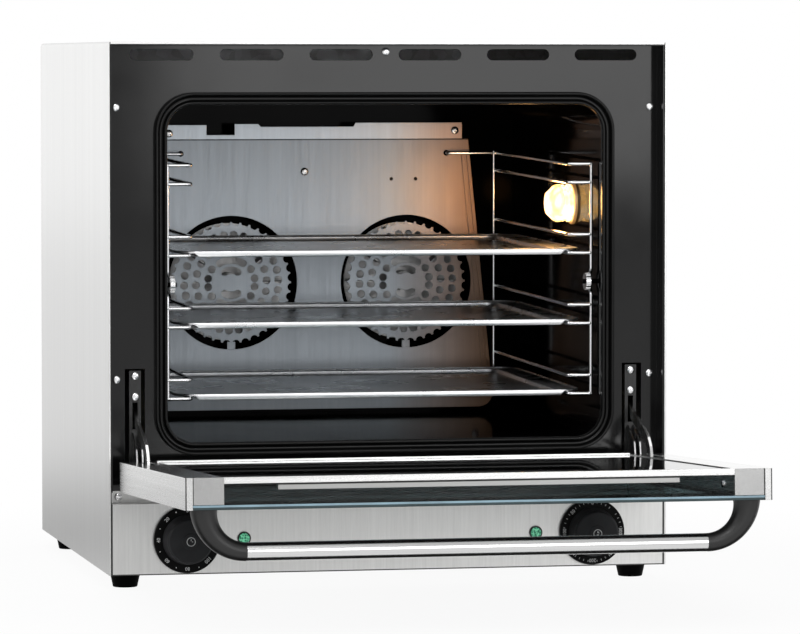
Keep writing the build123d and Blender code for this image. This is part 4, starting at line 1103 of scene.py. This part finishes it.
# Screws. Chromed pan heads with a cross recess hold the front plate, the panel and the hinge
# cases, and smaller chromed ones hold the rear panel.
head_tree, given = new_tree("recessed_heads", [
    ("Geometry", "Geometry"), ("Head", "Object"), ("Recess", "Object"), ("Facing", "Rotation"),
    ("Size", "Float"), ("Seed", "Int"), ("Finish", "Material"),
])
head, recess = (
    add(head_tree, "GeometryNodeObjectInfo", {"Object": given[label]}).outputs["Geometry"]
    for label in ("Head", "Recess")
)
recessed = grow(head_tree, "MeshBoolean", {0: head, 1: recess}, operation="DIFFERENCE")
on_points = grow(head_tree, "InstanceOnPoints", {
    "Points": given["Geometry"], "Instance": recessed,
    "Rotation": given["Facing"], "Scale": given["Size"],
})
any_turn = add(head_tree, "FunctionNodeRandomValue", {
    2: 0.0, 3: 1.57, "Seed": given["Seed"],
}, data_type="FLOAT")
about_axis = add(head_tree, "ShaderNodeCombineXYZ", {"Y": any_turn.outputs[1]})
driven = grow(head_tree, "RotateInstances", {
    "Instances": on_points, "Rotation": about_axis.outputs[0],
})
ended(head_tree, given, driven)
pan_profile = [(4.2, 0.0), (4.2, 0.9), (4.0, 1.4), (3.4, 1.9), (2.3, 2.25), (1.2, 2.38)]
head_mesh = lathe("pan_head", pan_profile, 24, Vector(), (0, -1, 0))
arm, reach = 0.55, 2.5
plus = [(arm, reach), (-arm, reach), (-arm, arm), (-reach, arm), (-reach, -arm), (-arm, -arm)]
plus += [(-x, -y) for x, y in plus]
recess_mesh = lofted("cross_recess", [
    [Vector((x, -3.0, z)) / 1000 for x, z in plus],
    [Vector((x * 0.62, -1.0, z * 0.62)) / 1000 for x, z in plus],
], closed=False)
head_shape = bpy.data.objects.new("pan_head_shape", head_mesh)
recess_shape = bpy.data.objects.new("cross_recess_shape", recess_mesh)
front_spots = [(0, 26, 543)]
for side in (-1, 1):
    front_spots += [(side * 284.5, 24.8, 80), (side * 286, 26, 202), (side * 286, 26, 485)]
    front_spots += [(side * 266, 28.2, 184), (side * 266, 28.2, 205.5)]
rear_spots = [(side * 287, 525, z) for side in (-1, 1) for z in (30, 200, 370, 530)]
baffle_spots = [
    (156.5, 401.2, 455), (-170.3, 401.2, 452.3), (-16.5, 400, 409.3), (-180, 400, 160), (180, 400, 160),
]
groups = (
    ("front", front_spots, (0, 0, 0), 1.0, 3), ("rear", rear_spots, (0, 0, pi), 0.83, 5),
    ("baffle", baffle_spots, (0, 0, 0), 1.06, 8),
)
heads = {}
for label, spots, facing, size, seed in groups:
    points = bpy.data.meshes.new(label + "_screw_spots")
    points.from_pydata([place(*spot) for spot in spots], [], [])
    heads[label] = grown(label + "_screw_heads", head_tree, points, {
        "Head": head_shape, "Recess": recess_shape, "Facing": facing, "Size": size, "Seed": seed,
        "Finish": chrome if label != "baffle" else bright_steel,
    })
bpy.data.objects.remove(head_shape)
bpy.data.objects.remove(recess_shape)
cabinet = bmesh.new()
cabinet.from_mesh(heads["front"])
cabinet.from_mesh(heads["rear"])
cabinet_mesh = bpy.data.meshes.new("cabinet_screw_heads")
cabinet.to_mesh(cabinet_mesh)
cabinet.free()
piece("cabinet_screw_heads", cabinet_mesh, "oven", ["cabinet_screws"], chrome, 35)
piece("baffle_screw_heads", heads["baffle"], "oven", ["baffle_screws"], bright_steel, 35)
